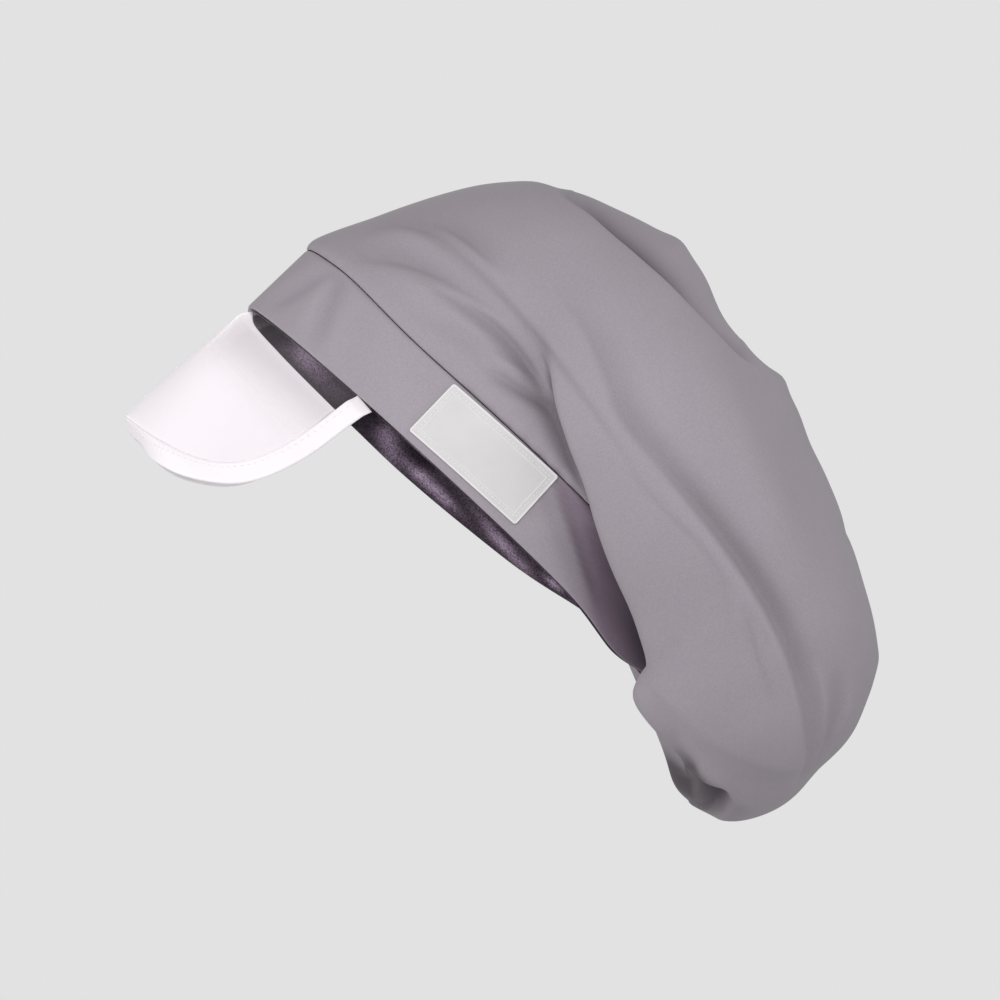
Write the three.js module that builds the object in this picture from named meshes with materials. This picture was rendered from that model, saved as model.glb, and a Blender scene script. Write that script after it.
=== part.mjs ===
// A soft rain hat: a cloth band round the head with a satin lining, a full slouching crown that holds the
// hair, a clear visor with a taped edge over the forehead, and a small sewn label on the wearer's left.
// Millimetres, +Z up. The visor points to -Y and the label is on +X. The origin is the middle of the head
// opening, in the plane of the band's rim, which drops from the forehead to the nape.
import * as THREE from "three";

// Head opening and band, measured outside the cloth: u runs from forehead to nape, w up into the hat
const OPENING_TILT = 43;
const RIM_HALF_LENGTH = 105.6;
const RIM_HALF_WIDTH = 80;
const BAND_HEIGHT = 30;
const BAND_LENGTH_TAPER = 1.6;
const BAND_WIDTH_TAPER = 1;
const CLOTH = 1.6;
const GAP = 0.3;

// Satin lining inside the band
const LINING = 1;
const LINING_HEIGHT = 28;

// Clear visor: its angles are measured round the opening from the middle of the forehead
const VISOR_SHEET = 0.8;
const VISOR_DROP = 69;
const VISOR_SEWN_IN = 8;
const VISOR_HALF_ANGLE = 63;
const VISOR_NARROWING = 5;
const VISOR_CORNERS = 4.2;
const VISOR_FLARE = 5;

// The visor's front is bent down just before its tape, most at the middle and no more at the corners
const CURL_STARTS = 58.5;
const CURL_LENGTH = 3;
const CURL = 48;
const CURL_FULL_WITHIN = 15;
const CURL_ENDS_AT = 55;

// Tape folded over the visor's free edge
const TAPE_WIDTH = 8;
const TAPE = 0.9;
const TAPE_GAP = 0.5;
const TAPE_STARTS_BELOW_RIM = 1.8;

// Soft label on the band
const LABEL_LENGTH = 51;
const LABEL_HEIGHT = 23.5;
const LABEL_CORNER = 1.6;
const LABEL_THICKNESS = 1.9;
const LABEL_FIELD = 1.3;
const LABEL_BORDER = 2.2;
const LABEL_ROUNDING = 0.6;
const LABEL_U = -6.9;
const LABEL_W = 15;
const LABEL_LEAN = 1.2;

// Crown: hoops round the bag of cloth from the band's seam to the closed back. Each hoop passes through a
// top point, a side point at its half width and a bottom point. "Tucked in" and "tucked back" shift the
// side cloth of a hoop, which makes the overlap that hangs forward over the band.
const HOOPS = [
  // name, top y, top z, side y, side z, half width, bottom y, bottom z, tucked in, tucked back
  ["seam", -55.6, 92.9, 20.5, 21.9, 79, 96.5, -49, 0, 0],
  ["roll", -54.5, 97, 22.5, 23.5, 81.5, 99.5, -50.5, 0, 0],
  ["front", -40, 102.5, 30, 26, 83, 99, -62, 4, 5],
  ["root", -20, 110, 38, 27, 86, 96, -80, 15, 12],
  ["lip", 2, 117, 46, 27, 89, 86, -103, -2, -17],
  ["shoulder", 22, 121, 57, 25, 94, 96, -125, -7, -10],
  ["near", 44, 119, 70, 21, 100, 116, -124.5, -3, 0],
  ["middle", 67, 110, 87, 14, 102, 138, -112, 0, 0],
  ["rear", 94, 93.5, 105, 2, 97, 154, -91, 0, 0],
  ["back", 108, 62, 124, -10, 78, 163, -66, 0, 0],
  ["cap", 139, 32, 142, -18, 46, 164, -45, 0, 0],
  ["pole", 149.5, -14, 149.5, -14, 0, 149.5, -14, 0, 0],
];
const TUCK_STARTS = 50;
const TUCK_FULL = 96;
const RIGHT_SIDE_TUCK = 0.3;

// Places where the cloth is pushed out of its smooth form
const PUSHES = [
  // name, x, y, z, radius, push x, push y, push z
  ["nape corner", 50, 72, -77, 15, 0, -13, 4],
  ["lip", 80, 42, -18, 30, 0, -5.5, -1],
  ["upper lip", 80, 30, 28, 20, 0, -5.5, -1],
];
const PUSHED_FROM_HOOP = 2.6;

// Folds, each a curve drawn on the side view of the bag. A positive height is a ridge.
const FOLDS = [
  // name, side, start y, start z, middle y, middle z, end y, end z, height, width in front, width behind
  ["back valley", 1, 43, 110, 74, 80, 108, 55, -9, 4, 12],
  ["bag valley", 1, 39, 64, 91, -14, 125, -93, -4, 6, 14],
  ["upper ridge", 1, -5, 93, 27, 51, 76, -14, 2, 4, 16],
  ["under turn", 1, 68, -64, 98, -86, 128, -97, 3.5, 9, 22],
  ["right valley", -1, 30, 104, 70, 60, 112, 30, -5, 14, 18],
  ["right bag valley", -1, 60, 40, 90, -20, 122, -80, -4, 18, 20],
];
const FOLDED_FROM_HOOP = 2.2;
const FOLD_STEPS = 24;

// Tip of the closed back
const [POLE_Y, POLE_Z] = HOOPS[HOOPS.length - 1].slice(1, 3);

// Facets
const CROWN_ROUND = 60;
const CROWN_LONG = 32;
const BAND_ROUND = 88;
const VISOR_ACROSS = 56;
const CURL_ROWS = [CURL_STARTS, CURL_STARTS + CURL_LENGTH / 2, CURL_STARTS + CURL_LENGTH];
const VISOR_ROWS = [0, 30, ...CURL_ROWS, VISOR_DROP];
const EDGE_SAMPLES = 4000;
const EDGE_END = 0.0001;

const tilt = THREE.MathUtils.degToRad(OPENING_TILT);
const { degToRad, smoothstep, clamp } = THREE.MathUtils;

// A closed body from loops of points laid side by side. The stack of loops is either joined end to end
// into a ring, or closed at each end by a cap.
function bodyFromLoops(loops, { ring = false, cap = fanCap() } = {}) {
  const count = loops[0].length;
  const positions = loops.flat(2);
  const index = [];
  const last = ring ? loops.length : loops.length - 1;
  for (let i = 0; i < last; i += 1) {
    const a = i * count;
    const b = ((i + 1) % loops.length) * count;
    for (let j = 0; j < count; j += 1) {
      const k = (j + 1) % count;
      index.push(a + j, b + j, b + k, a + j, b + k, a + k);
    }
  }
  if (!ring) {
    cap(loops[0], 0, false, positions, index);
    cap(loops[loops.length - 1], (loops.length - 1) * count, true, positions, index);
  }
  const geometry = new THREE.BufferGeometry();
  geometry.setAttribute("position", new THREE.Float32BufferAttribute(positions, 3));
  geometry.setIndex(index);
  return outward(geometry);
}

// Closes a loop with triangles to a tip, which is its middle if none is given
function fanCap(tips = []) {
  return (loop, first, atEnd, positions, index) => {
    const middle = [0, 1, 2].map((axis) => loop.reduce((sum, p) => sum + p[axis], 0) / loop.length);
    const tip = positions.length / 3;
    positions.push(...(tips[atEnd ? 1 : 0] ?? middle));
    for (let j = 0; j < loop.length; j += 1) {
      const a = first + j;
      const b = first + ((j + 1) % loop.length);
      index.push(...(atEnd ? [a, tip, b] : [b, tip, a]));
    }
  };
}

// Closes a loop that is the outline of a flat section, which may be hollowed like the letter U
function sectionCap(section) {
  const outline = section.map(([x, y]) => new THREE.Vector2(x, y));
  const faces = THREE.ShapeUtils.triangulateShape(outline, []);
  return (loop, first, atEnd, positions, index) => {
    for (const [a, b, c] of faces) {
      index.push(...(atEnd ? [first + a, first + c, first + b] : [first + a, first + b, first + c]));
    }
  };
}

// Turns a body's faces outward, by the sign of its volume
function outward(geometry) {
  const p = geometry.getAttribute("position");
  const index = geometry.getIndex().array;
  const [a, b, c] = [new THREE.Vector3(), new THREE.Vector3(), new THREE.Vector3()];
  let volume = 0;
  for (let i = 0; i < index.length; i += 3) {
    a.fromBufferAttribute(p, index[i]);
    b.fromBufferAttribute(p, index[i + 1]);
    c.fromBufferAttribute(p, index[i + 2]);
    volume += a.dot(b.cross(c));
  }
  if (volume < 0) {
    for (let i = 0; i < index.length; i += 3) {
      [index[i + 1], index[i + 2]] = [index[i + 2], index[i + 1]];
    }
  }
  geometry.computeVertexNormals();
  return geometry;
}

// Point of the band's outer wall, moved inward by inset, at an angle from the middle of the forehead
function bandPoint(angle, w, inset) {
  const rise = w / BAND_HEIGHT;
  const a = RIM_HALF_LENGTH - BAND_LENGTH_TAPER * rise;
  const b = RIM_HALF_WIDTH - BAND_WIDTH_TAPER * rise;
  const out = new THREE.Vector2(Math.sin(angle) / b, -Math.cos(angle) / a).normalize();
  const x = b * Math.sin(angle) - out.x * inset;
  const u = -a * Math.cos(angle) - out.y * inset;
  return [x, u, w, out];
}

// A wall that follows the band, between two insets that may change round the head
function bandWall(insetOutside, insetInside, low, high) {
  const loops = [];
  for (let i = 0; i < BAND_ROUND; i += 1) {
    const angle = (i / BAND_ROUND) * 2 * Math.PI;
    const corners = [[insetOutside, low], [insetOutside, high], [insetInside, high], [insetInside, low]];
    loops.push(corners.map(([inset, w]) => bandPoint(angle, w, inset(angle)).slice(0, 3)));
  }
  return bodyFromLoops(loops, { ring: true });
}

// How far inside the band's outer wall the lining lies: close to the cloth, and further in by the
// thickness of the visor where that is sewn between the two
function liningInset(angle) {
  const fromFront = Math.abs(((angle + Math.PI) % (2 * Math.PI)) - Math.PI);
  const room = 1 - smoothstep(fromFront, degToRad(VISOR_HALF_ANGLE + 2), degToRad(VISOR_HALF_ANGLE + 20));
  return CLOTH + GAP + (VISOR_SHEET + GAP) * room;
}

// Point of the visor's middle surface, some way below the rim: it follows the band's inner face inside
// the hat, flares outward below it, and is bent inward along a short arc near its free edge. Offset moves
// it along its outward direction.
function visorPoint(angle, drop, offset) {
  const seat = CLOTH + GAP + VISOR_SHEET / 2;
  const [x, u, w, out] = bandPoint(angle, Math.max(-drop, 0), seat);
  const below = Math.max(drop, 0);
  const aside = smoothstep(Math.abs(angle), degToRad(CURL_FULL_WITHIN), degToRad(CURL_ENDS_AT));
  const bend = degToRad(CURL) * (1 - aside);
  const bent = clamp(drop - CURL_STARTS, 0, CURL_LENGTH);
  const turned = (bend * bent) / CURL_LENGTH;
  const beyond = Math.max(drop - CURL_STARTS - CURL_LENGTH, 0);
  const flare = below * Math.tan(degToRad(VISOR_FLARE));
  const inward = bent * Math.sin(turned / 2) + beyond * Math.sin(bend);
  const down = below - bent * (1 - Math.cos(turned / 2)) - beyond * (1 - Math.cos(bend));
  const away = flare - inward + offset * Math.cos(turned);
  return [x + out.x * away, u + out.y * away, w - down - offset * Math.sin(turned)];
}

// The visor's free edge, from one side to the other: a rounded rectangle bent round the forehead, a
// little narrower at its free end. Gives the angle and the drop at q, which runs from 0 to pi.
function visorEdge(q) {
  const drop = VISOR_DROP * Math.abs(Math.sin(q)) ** (2 / VISOR_CORNERS);
  const reach = VISOR_HALF_ANGLE - (VISOR_NARROWING * drop) / VISOR_DROP;
  const across = -Math.sign(Math.cos(q)) * Math.abs(Math.cos(q)) ** (2 / VISOR_CORNERS);
  return [degToRad(reach * across), drop];
}

// Values of q that lie evenly along the visor's free edge
function evenlyAlongEdge() {
  const span = Math.PI - 2 * EDGE_END;
  const fine = Array.from({ length: EDGE_SAMPLES + 1 }, (_, i) => EDGE_END + (span * i) / EDGE_SAMPLES);
  const points = fine.map((q) => new THREE.Vector3(...visorPoint(...visorEdge(q), 0)));
  const run = [0];
  points.slice(1).forEach((p, i) => run.push(run[i] + p.distanceTo(points[i])));
  return Array.from({ length: VISOR_ACROSS + 1 }, (_, k) => {
    const wanted = (run[EDGE_SAMPLES] * k) / VISOR_ACROSS;
    return fine[run.findIndex((length) => length >= wanted)] ?? fine[EDGE_SAMPLES];
  });
}

function visorSheet(stations) {
  const half = VISOR_SHEET / 2;
  return bodyFromLoops(stations.map((q) => {
    const [angle, drop] = visorEdge(q);
    const drops = [-VISOR_SEWN_IN, ...VISOR_ROWS.map((row) => (drop * row) / VISOR_DROP)];
    const outside = drops.map((d) => visorPoint(angle, d, half));
    const inside = drops.map((d) => visorPoint(angle, d, -half)).reverse();
    return [...outside, ...inside];
  }));
}

// Point beside the free edge: depth is measured inward over the visor's face, side off the face
function besideEdge(q, depth, side) {
  const [angle, drop] = visorEdge(q);
  const [angleBefore, dropBefore] = visorEdge(q - EDGE_END);
  const [angleAfter, dropAfter] = visorEdge(q + EDGE_END);
  const here = new THREE.Vector3(...visorPoint(angle, drop, 0));
  const perRadian = here.distanceTo(new THREE.Vector3(...visorPoint(angle + EDGE_END, drop, 0))) / EDGE_END;
  const along = new THREE.Vector2((angleAfter - angleBefore) * perRadian, dropAfter - dropBefore).normalize();
  return visorPoint(angle + (along.y * depth) / perRadian, drop - along.x * depth, side);
}

// The tape is a U section carried along the free edge, its slot open toward the middle of the visor
function visorTape(stations) {
  const slot = VISOR_SHEET / 2 + TAPE_GAP;
  const thick = slot + TAPE;
  const deep = TAPE_WIDTH - TAPE - TAPE_GAP;
  const section = [
    [deep - TAPE_WIDTH, -thick], [deep, -thick], [deep, -slot], [-TAPE_GAP, -slot],
    [-TAPE_GAP, slot], [deep, slot], [deep, thick], [deep - TAPE_WIDTH, thick],
  ];
  const taped = stations.filter((q) => visorEdge(q)[1] > TAPE_STARTS_BELOW_RIM);
  return bodyFromLoops(taped.map((q) => section.map(([depth, side]) => besideEdge(q, depth, side))), {
    cap: sectionCap(section),
  });
}

// Height of the label's face above its back, at a distance in from its outline: a raised border that
// is rounded off outside, round a lower field
function labelFace(inset) {
  if (inset < LABEL_ROUNDING) return LABEL_THICKNESS * (0.65 + (0.35 * inset) / LABEL_ROUNDING);
  return inset <= LABEL_BORDER ? LABEL_THICKNESS : LABEL_FIELD;
}

// The label is a stack of cross-sections along the band, lower where its corners are rounded
function label() {
  const halfLength = LABEL_LENGTH / 2;
  const edge = [0, LABEL_ROUNDING, LABEL_CORNER / 2, LABEL_BORDER, LABEL_BORDER + 0.5, 6, 11, 16];
  const nearEnd = edge.map((inset) => inset - halfLength);
  const stations = [...nearEnd, 0, ...nearEnd.map((along) => -along).reverse()];
  const middle = Math.acos(-LABEL_U / RIM_HALF_LENGTH);
  const loops = [];
  let ends;
  for (const along of stations) {
    const inset = halfLength - Math.abs(along);
    const cut = Math.max(LABEL_CORNER - inset, 0);
    const half = LABEL_HEIGHT / 2 - LABEL_CORNER + Math.sqrt(LABEL_CORNER ** 2 - cut ** 2);
    const rows = [0, LABEL_ROUNDING, LABEL_BORDER, LABEL_BORDER + 0.5];
    const ups = [...rows.map((row) => half - row), 0, ...rows.map((row) => row - half).reverse()];
    const face = ups.map((up) => [up, labelFace(Math.min(inset, half - Math.abs(up)))]);
    const section = [[-half, 0], [half, 0], ...face];
    const angle = middle + along / RIM_HALF_LENGTH;
    const w = LABEL_W + along * Math.tan(degToRad(LABEL_LEAN));
    loops.push(section.map(([up, h]) => bandPoint(angle, w + up, -(GAP + h)).slice(0, 3)));
    ends = section;
  }
  return bodyFromLoops(loops, { cap: sectionCap(ends) });
}

// Row of the hoops table at any place between two hoops, by a uniform cubic B-spline
function hoopAt(h) {
  const rows = HOOPS.map((row) => row.slice(1));
  const spans = rows.length - 1;
  const i = Math.min(Math.floor(h), spans - 1);
  const f = h - i;
  const weights = [(1 - f) ** 3, 3 * f ** 3 - 6 * f ** 2 + 4, -3 * f ** 3 + 3 * f ** 2 + 3 * f + 1, f ** 3];
  const before = i > 0 ? rows[i - 1] : rows[0].map((v, k) => 2 * v - rows[1][k]);
  const after = i + 2 <= spans ? rows[i + 2] : rows[spans].map((v, k) => 2 * v - rows[spans - 1][k]);
  const four = [before, rows[i], rows[i + 1], after];
  return rows[0].map((_, k) => four.reduce((sum, row, n) => sum + (row[k] * weights[n]) / 6, 0));
}

// Smooth form of the crown: angle 0 is the top of a hoop, 90 degrees the left side, 180 the bottom
function crownForm(angle, h) {
  const [topY, topZ, sideY, sideZ, halfWidth, bottomY, bottomZ, tuckIn, tuckBack] = hoopAt(h);
  const c = Math.cos(angle);
  const s = Math.sin(angle);
  const turned = THREE.MathUtils.radToDeg(Math.acos(clamp(c, -1, 1)));
  const tuck = smoothstep(turned, TUCK_STARTS, TUCK_FULL) * (s < 0 ? RIGHT_SIDE_TUCK : 1);
  const y = sideY + (c * (topY - bottomY)) / 2 + c * c * ((topY + bottomY) / 2 - sideY);
  const z = sideZ + (c * (topZ - bottomZ)) / 2 + c * c * ((topZ + bottomZ) / 2 - sideZ);
  const p = new THREE.Vector3((halfWidth - tuck * tuckIn) * s, y + tuck * tuckBack * Math.abs(s), z);
  const free = smoothstep(h, PUSHED_FROM_HOOP, PUSHED_FROM_HOOP + 0.8);
  for (const [, x0, y0, z0, radius, pushX, pushY, pushZ] of PUSHES) {
    const near = p.distanceTo(new THREE.Vector3(x0, y0, z0)) / radius;
    p.addScaledVector(new THREE.Vector3(pushX, pushY, pushZ), Math.exp(-near * near) * free);
  }
  return p;
}

// Value at t = 0 to 1 of the quadratic through a start, a middle and an end
function through(start, middle, end, t) {
  return start * (2 * t - 1) * (t - 1) + 4 * middle * t * (1 - t) + end * t * (2 * t - 1);
}

// How far one fold lifts the cloth at a point: a bell across the fold's curve, faded toward its ends
function foldHeight([, side, y0, z0, y1, z1, y2, z2, height, inFront, behind], p) {
  let best = { reach: Infinity };
  for (let i = 0; i < FOLD_STEPS; i += 1) {
    const [t, next] = [i / FOLD_STEPS, (i + 1) / FOLD_STEPS];
    const a = new THREE.Vector2(through(y0, y1, y2, t), through(z0, z1, z2, t));
    const b = new THREE.Vector2(through(y0, y1, y2, next), through(z0, z1, z2, next));
    const d = new THREE.Vector2(p.y, p.z).sub(a);
    const step = b.sub(a);
    const part = clamp(d.dot(step) / step.lengthSq(), 0, 1);
    const across = d.x * step.y - d.y * step.x;
    const reach = d.addScaledVector(step, -part).length();
    if (reach < best.reach) best = { reach, across, t: t + part / FOLD_STEPS };
  }
  const width = best.across > 0 ? inFront : behind;
  const fade = Math.sin(Math.PI * (0.05 + 0.9 * best.t)) ** 0.8;
  return height * Math.exp(-((best.reach / width) ** 2)) * fade * smoothstep(p.x * side, -30, 20);
}

// The crown's outer face with its folds, as a grid of points, and the outward directions of the grid
function crownGrid() {
  const hoops = Array.from({ length: CROWN_LONG }, (_, j) => (j / CROWN_LONG) * (HOOPS.length - 1));
  const angles = Array.from({ length: CROWN_ROUND }, (_, i) => (i / CROWN_ROUND) * 2 * Math.PI);
  const form = hoops.map((h) => angles.map((a) => crownForm(a, h)));
  const folded = form.map((loop, j) => loop.map((p, i) => {
    const free = smoothstep(hoops[j], FOLDED_FROM_HOOP, FOLDED_FROM_HOOP + 1);
    const lift = FOLDS.reduce((sum, fold) => sum + foldHeight(fold, p), 0) * free;
    return p.clone().addScaledVector(outDirection(form, j, i), lift);
  }));
  return folded;
}

// Outward direction of a grid of loops at one of its points
function outDirection(grid, j, i) {
  const round = grid[j].length;
  const ahead = grid[j][(i + 1) % round];
  const behind = grid[j][(i + round - 1) % round];
  const on = grid[Math.min(j + 1, grid.length - 1)][i];
  const back = grid[Math.max(j - 1, 0)][i];
  const du = new THREE.Vector3().subVectors(ahead, behind);
  const dv = new THREE.Vector3().subVectors(on, back);
  return du.cross(dv).normalize();
}

// Loop of the crown's edge on the seam, just above the band's top edge
function seamLoop(inset) {
  const angles = Array.from({ length: CROWN_ROUND }, (_, i) => (i / CROWN_ROUND) * 2 * Math.PI);
  return angles.map((angle) => {
    const [x, u, w] = bandPoint(angle, BAND_HEIGHT, inset);
    return new THREE.Vector3(x, u, w + GAP).applyAxisAngle(new THREE.Vector3(1, 0, 0), -tilt);
  });
}

// The crown is one wall: its outer loops from the closed back to the seam, then its inner loops back
function crown() {
  const outer = crownGrid();
  const inner = outer.map((loop, j) => loop.map((p, i) => (
    p.clone().addScaledVector(outDirection(outer, j, i), -CLOTH)
  )));
  outer[0] = seamLoop(0);
  inner[0] = seamLoop(CLOTH);
  const loops = [...outer.slice().reverse(), ...inner].map((loop) => loop.map((p) => p.toArray()));
  const tips = [[0, POLE_Y, POLE_Z], [0, POLE_Y - CLOTH, POLE_Z]];
  return bodyFromLoops(loops, { cap: fanCap(tips) });
}

function piece(name, geometry, color, roughness, metalness = 0) {
  const mesh = new THREE.Mesh(geometry, new THREE.MeshStandardMaterial({ color, roughness, metalness }));
  mesh.name = name;
  return mesh;
}

const hat = new THREE.Group();
hat.add(piece("crown", crown(), 0x9e979e, 0.75));

// The band and all that is sewn to it are made level with the opening, then tilted to the nape
const opening = new THREE.Group();
opening.rotation.x = -tilt;
opening.add(piece("band", bandWall(() => 0, () => CLOTH, 0, BAND_HEIGHT), 0x96919a, 0.75));
opening.add(piece("band_lining", bandWall(liningInset, (a) => liningInset(a) + LINING, 0, LINING_HEIGHT),
  0x52485a, 0.35));
const stations = evenlyAlongEdge();
opening.add(piece("visor", visorSheet(stations), 0xf6f4f8, 0.08));
opening.add(piece("visor_binding", visorTape(stations), 0xfbf9fc, 0.5));
opening.add(piece("label_patch", label(), 0xcfccce, 0.6));
hat.add(opening);

export default hat;
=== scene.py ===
# %% [markdown]
# # A soft rain hat
#
# A cloth band goes round the head. A full crown is gathered to it and slouches back, so that it holds the
# hair. A satin lining, a clear visor edged with white tape and a small soft label are sewn to the band.
# The solid model is the frame: what is made here lies in the same place, in metres, with +Z up, the visor
# toward -Y and the label on +X. Shapes are worked out in millimetres and scaled once, when a mesh is made.

# %% The frame
import math

import bmesh
import bpy
import numpy as np
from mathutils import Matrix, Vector


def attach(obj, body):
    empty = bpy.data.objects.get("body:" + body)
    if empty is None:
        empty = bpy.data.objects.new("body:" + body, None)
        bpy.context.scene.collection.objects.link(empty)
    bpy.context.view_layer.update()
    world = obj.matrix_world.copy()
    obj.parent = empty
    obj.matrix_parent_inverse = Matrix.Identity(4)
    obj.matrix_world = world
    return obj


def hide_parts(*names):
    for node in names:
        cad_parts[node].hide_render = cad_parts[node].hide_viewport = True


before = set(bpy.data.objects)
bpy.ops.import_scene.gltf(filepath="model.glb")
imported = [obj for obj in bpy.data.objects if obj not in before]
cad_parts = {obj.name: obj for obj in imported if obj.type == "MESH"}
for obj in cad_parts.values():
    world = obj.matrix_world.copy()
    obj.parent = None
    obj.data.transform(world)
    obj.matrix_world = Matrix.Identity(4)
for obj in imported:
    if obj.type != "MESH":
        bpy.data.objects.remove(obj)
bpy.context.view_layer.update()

# %% [markdown]
# ## The camera
#
# The picture was taken from the wearer's left, level with the hat and a few degrees to the front, with a
# long lens, which keeps near and far parts the same size. The camera could be aimed by eye, but here it is
# placed from the picture's scale, 0.38 mm to a pixel, so that both frames agree.

# %% The camera
PIXEL, PICTURE_MIDDLE, OPENING_AT = 0.38, 500, (451.5, 497.5)
LENS, SENSOR = 120, 36
AZIMUTH = math.radians(84.5)
back = Vector((math.sin(AZIMUTH), -math.cos(AZIMUTH), 0))
right = Vector((math.cos(AZIMUTH), math.sin(AZIMUTH), 0))
aside, above = (PICTURE_MIDDLE - OPENING_AT[0]) * PIXEL, (OPENING_AT[1] - PICTURE_MIDDLE) * PIXEL
aim = right * aside + Vector((0, 0, above))
camera_data = bpy.data.cameras.new("camera")
camera_data.lens, camera_data.sensor_width = LENS, SENSOR
camera_data.clip_start, camera_data.clip_end = 0.05, 20
camera = bpy.data.objects.new("camera", camera_data)
camera.location = aim / 1000 + back * (PIXEL * LENS / SENSOR)
camera.rotation_euler = (-back).to_track_quat("-Z", "Y").to_euler()
bpy.context.scene.collection.objects.link(camera)
bpy.context.scene.camera = camera
print("camera at", np.round(camera.location, 3))

# %% [markdown]
# ## Light and backdrop
#
# The picture's light is that of a white tent: no hard shadow, strongest from beside the camera, so that the
# cloth is palest where it faces the viewer. A bright world alone would be too flat to show the folds. So
# the world gives the even part of the light, and three broad panels give the rest. The camera sees the
# world at the backdrop's own pale grey, while the cloth is lit by a dimmer one.

# %% Light and backdrop
BACKDROP, TENT_LIGHT = (0.76, 0.76, 0.76, 1), 0.42


def light_panel(name, place, aimed_at, watts, size):
    """A square panel of light at a place, turned to face a point. Metres and watts."""
    data = bpy.data.lights.new(name, "AREA")
    data.energy, data.size = watts, size
    panel = bpy.data.objects.new(name, data)
    panel.location = place
    panel.rotation_euler = (Vector(aimed_at) - Vector(place)).to_track_quat("-Z", "Y").to_euler()
    panel.visible_camera = False
    bpy.context.scene.collection.objects.link(panel)


light_panel("key panel", (1.22, -0.12, 0.30), (0, 0.03, 0), 7.8, 0.6)
light_panel("front panel", (0.2, -0.8, 0.1), (0, -0.1, 0.03), 2.5, 0.5)
light_panel("back panel", (0.55, 1.0, 0.5), (0, 0.08, 0), 4.1, 0.8)

world = bpy.data.worlds.new("white tent")
world.use_nodes = True
bpy.context.scene.world = world
sky, links = world.node_tree.nodes, world.node_tree.links
seen, lit = sky["Background"], sky.new("ShaderNodeBackground")
seen.inputs["Color"].default_value = BACKDROP
lit.inputs["Color"].default_value = BACKDROP
lit.inputs["Strength"].default_value = TENT_LIGHT
which, mix = sky.new("ShaderNodeLightPath"), sky.new("ShaderNodeMixShader")
links.new(which.outputs["Is Camera Ray"], mix.inputs["Fac"])
links.new(lit.outputs[0], mix.inputs[1])
links.new(seen.outputs[0], mix.inputs[2])
links.new(mix.outputs[0], sky["World Output"].inputs["Surface"])
bpy.context.scene.view_settings.view_transform = "Standard"
print("three panels and a world at", TENT_LIGHT)

# %% [markdown]
# ## From a grid of points to a mesh
#
# Cloth is a surface, so each piece here is a grid of points. Blender could shape it from a subdivided
# plane, but a formula over two numbers says where every point goes. A grid may close on itself, as a hoop
# does, and a row may be gathered into one point, as at the closed back of the crown. The cloth's own two
# directions go with it as a UV map in metres, so that threads follow the surface.

# %% From a grid of points to a mesh


def smooth_step(low, high, value):
    """0 below low, 1 above high, and 3t^2 - 2t^3 between them, where t is how far the value has got."""
    t = np.clip((value - low) / (high - low), 0, 1)
    return t * t * (3 - 2 * t)


def bell(x):
    """exp(-x^2): 1 in the middle, and nearly 0 from 2 on."""
    return np.exp(-x * x)


def length_run(points, closed=False):
    """Length run up from the first point to each of the others, and on to the first where closed is true."""
    points = np.vstack([points, points[:1]]) if closed else np.asarray(points, float)
    return np.append(0, np.cumsum(np.linalg.norm(np.diff(points, axis=0), axis=-1)))


def soft_waves(points, length, seed):
    """Soft random height near -1 to 1: twelve sine waves of about one length, each in its own direction."""
    dice = np.random.default_rng(seed)
    heading = dice.normal(size=(12, 3))
    heading /= np.linalg.norm(heading, axis=1, keepdims=True)
    turns = heading * dice.uniform(0.7, 1.4, (12, 1)) * 2 * np.pi / length
    return np.sin(points @ turns.T + dice.uniform(0, 2 * np.pi, 12)).sum(-1) / 5


def add_mesh(name, points, faces, corner_uv=None):
    """A smooth mesh object through points in millimetres. corner_uv has one pair for each face corner."""
    mesh = bpy.data.meshes.new(name)
    mesh.from_pydata((points * 0.001).tolist(), [], faces)
    mesh.polygons.foreach_set("use_smooth", np.ones(len(faces), bool))
    if corner_uv is not None:
        layer = mesh.uv_layers.new(name="cloth")
        layer.data.foreach_set("uv", np.asarray(corner_uv, float).ravel())
    mesh.update()
    piece = bpy.data.objects.new(name, mesh)
    bpy.context.scene.collection.objects.link(piece)
    return piece


def grid_piece(name, points, hoops=True, ring=False, tips=(), cloth=None):
    """A piece through a grid of points, shape (rows, columns, 3).

    Its faces join each point to the next in its row and to the row after. Where hoops is true each row
    closes on itself, where ring is true the last row joins the first, and tips are two points that close
    the first and the last row. cloth is the UV of each point, with one more row or column where it closes.
    """
    rows, columns, _ = points.shape
    r, c = np.meshgrid(np.arange(rows - (not ring)), np.arange(columns - (not hoops)), indexing="ij")
    corner_r = np.stack([r, r, r + 1, r + 1], -1).reshape(-1, 4)
    corner_c = np.stack([c, c + 1, c + 1, c], -1).reshape(-1, 4)
    quads = (corner_r % rows) * columns + corner_c % columns
    faces, uv = quads.tolist(), None
    if cloth is not None:
        uv = cloth[corner_r, corner_c].reshape(-1, 2)
    flat = points.reshape(-1, 3)
    if len(tips):
        here = np.arange(columns)
        after, last = (here + 1) % columns, (rows - 1) * columns
        first_fan = np.stack([np.full(columns, len(flat)), after, here], -1)
        last_fan = np.stack([last + here, last + after, np.full(columns, len(flat) + 1)], -1)
        faces += first_fan.tolist() + last_fan.tolist()
        flat = np.vstack([flat, tips])
        if cloth is not None:
            first, final = (
                np.stack([(row[:-1] + row[1:]) / 2, row[1:], row[:-1]], 1) for row in (cloth[0], cloth[-1]))
            uv = np.vstack([uv, first.reshape(-1, 2), final[:, [2, 1, 0]].reshape(-1, 2)])
    return add_mesh(name, flat, faces, uv)


def merge_doubles(piece):
    """Joins points that lie on each other, as where a row of the grid has collapsed onto a line."""
    body = bmesh.new()
    body.from_mesh(piece.data)
    bmesh.ops.remove_doubles(body, verts=body.verts, dist=1e-6)
    body.to_mesh(piece.data)
    body.free()


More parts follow.
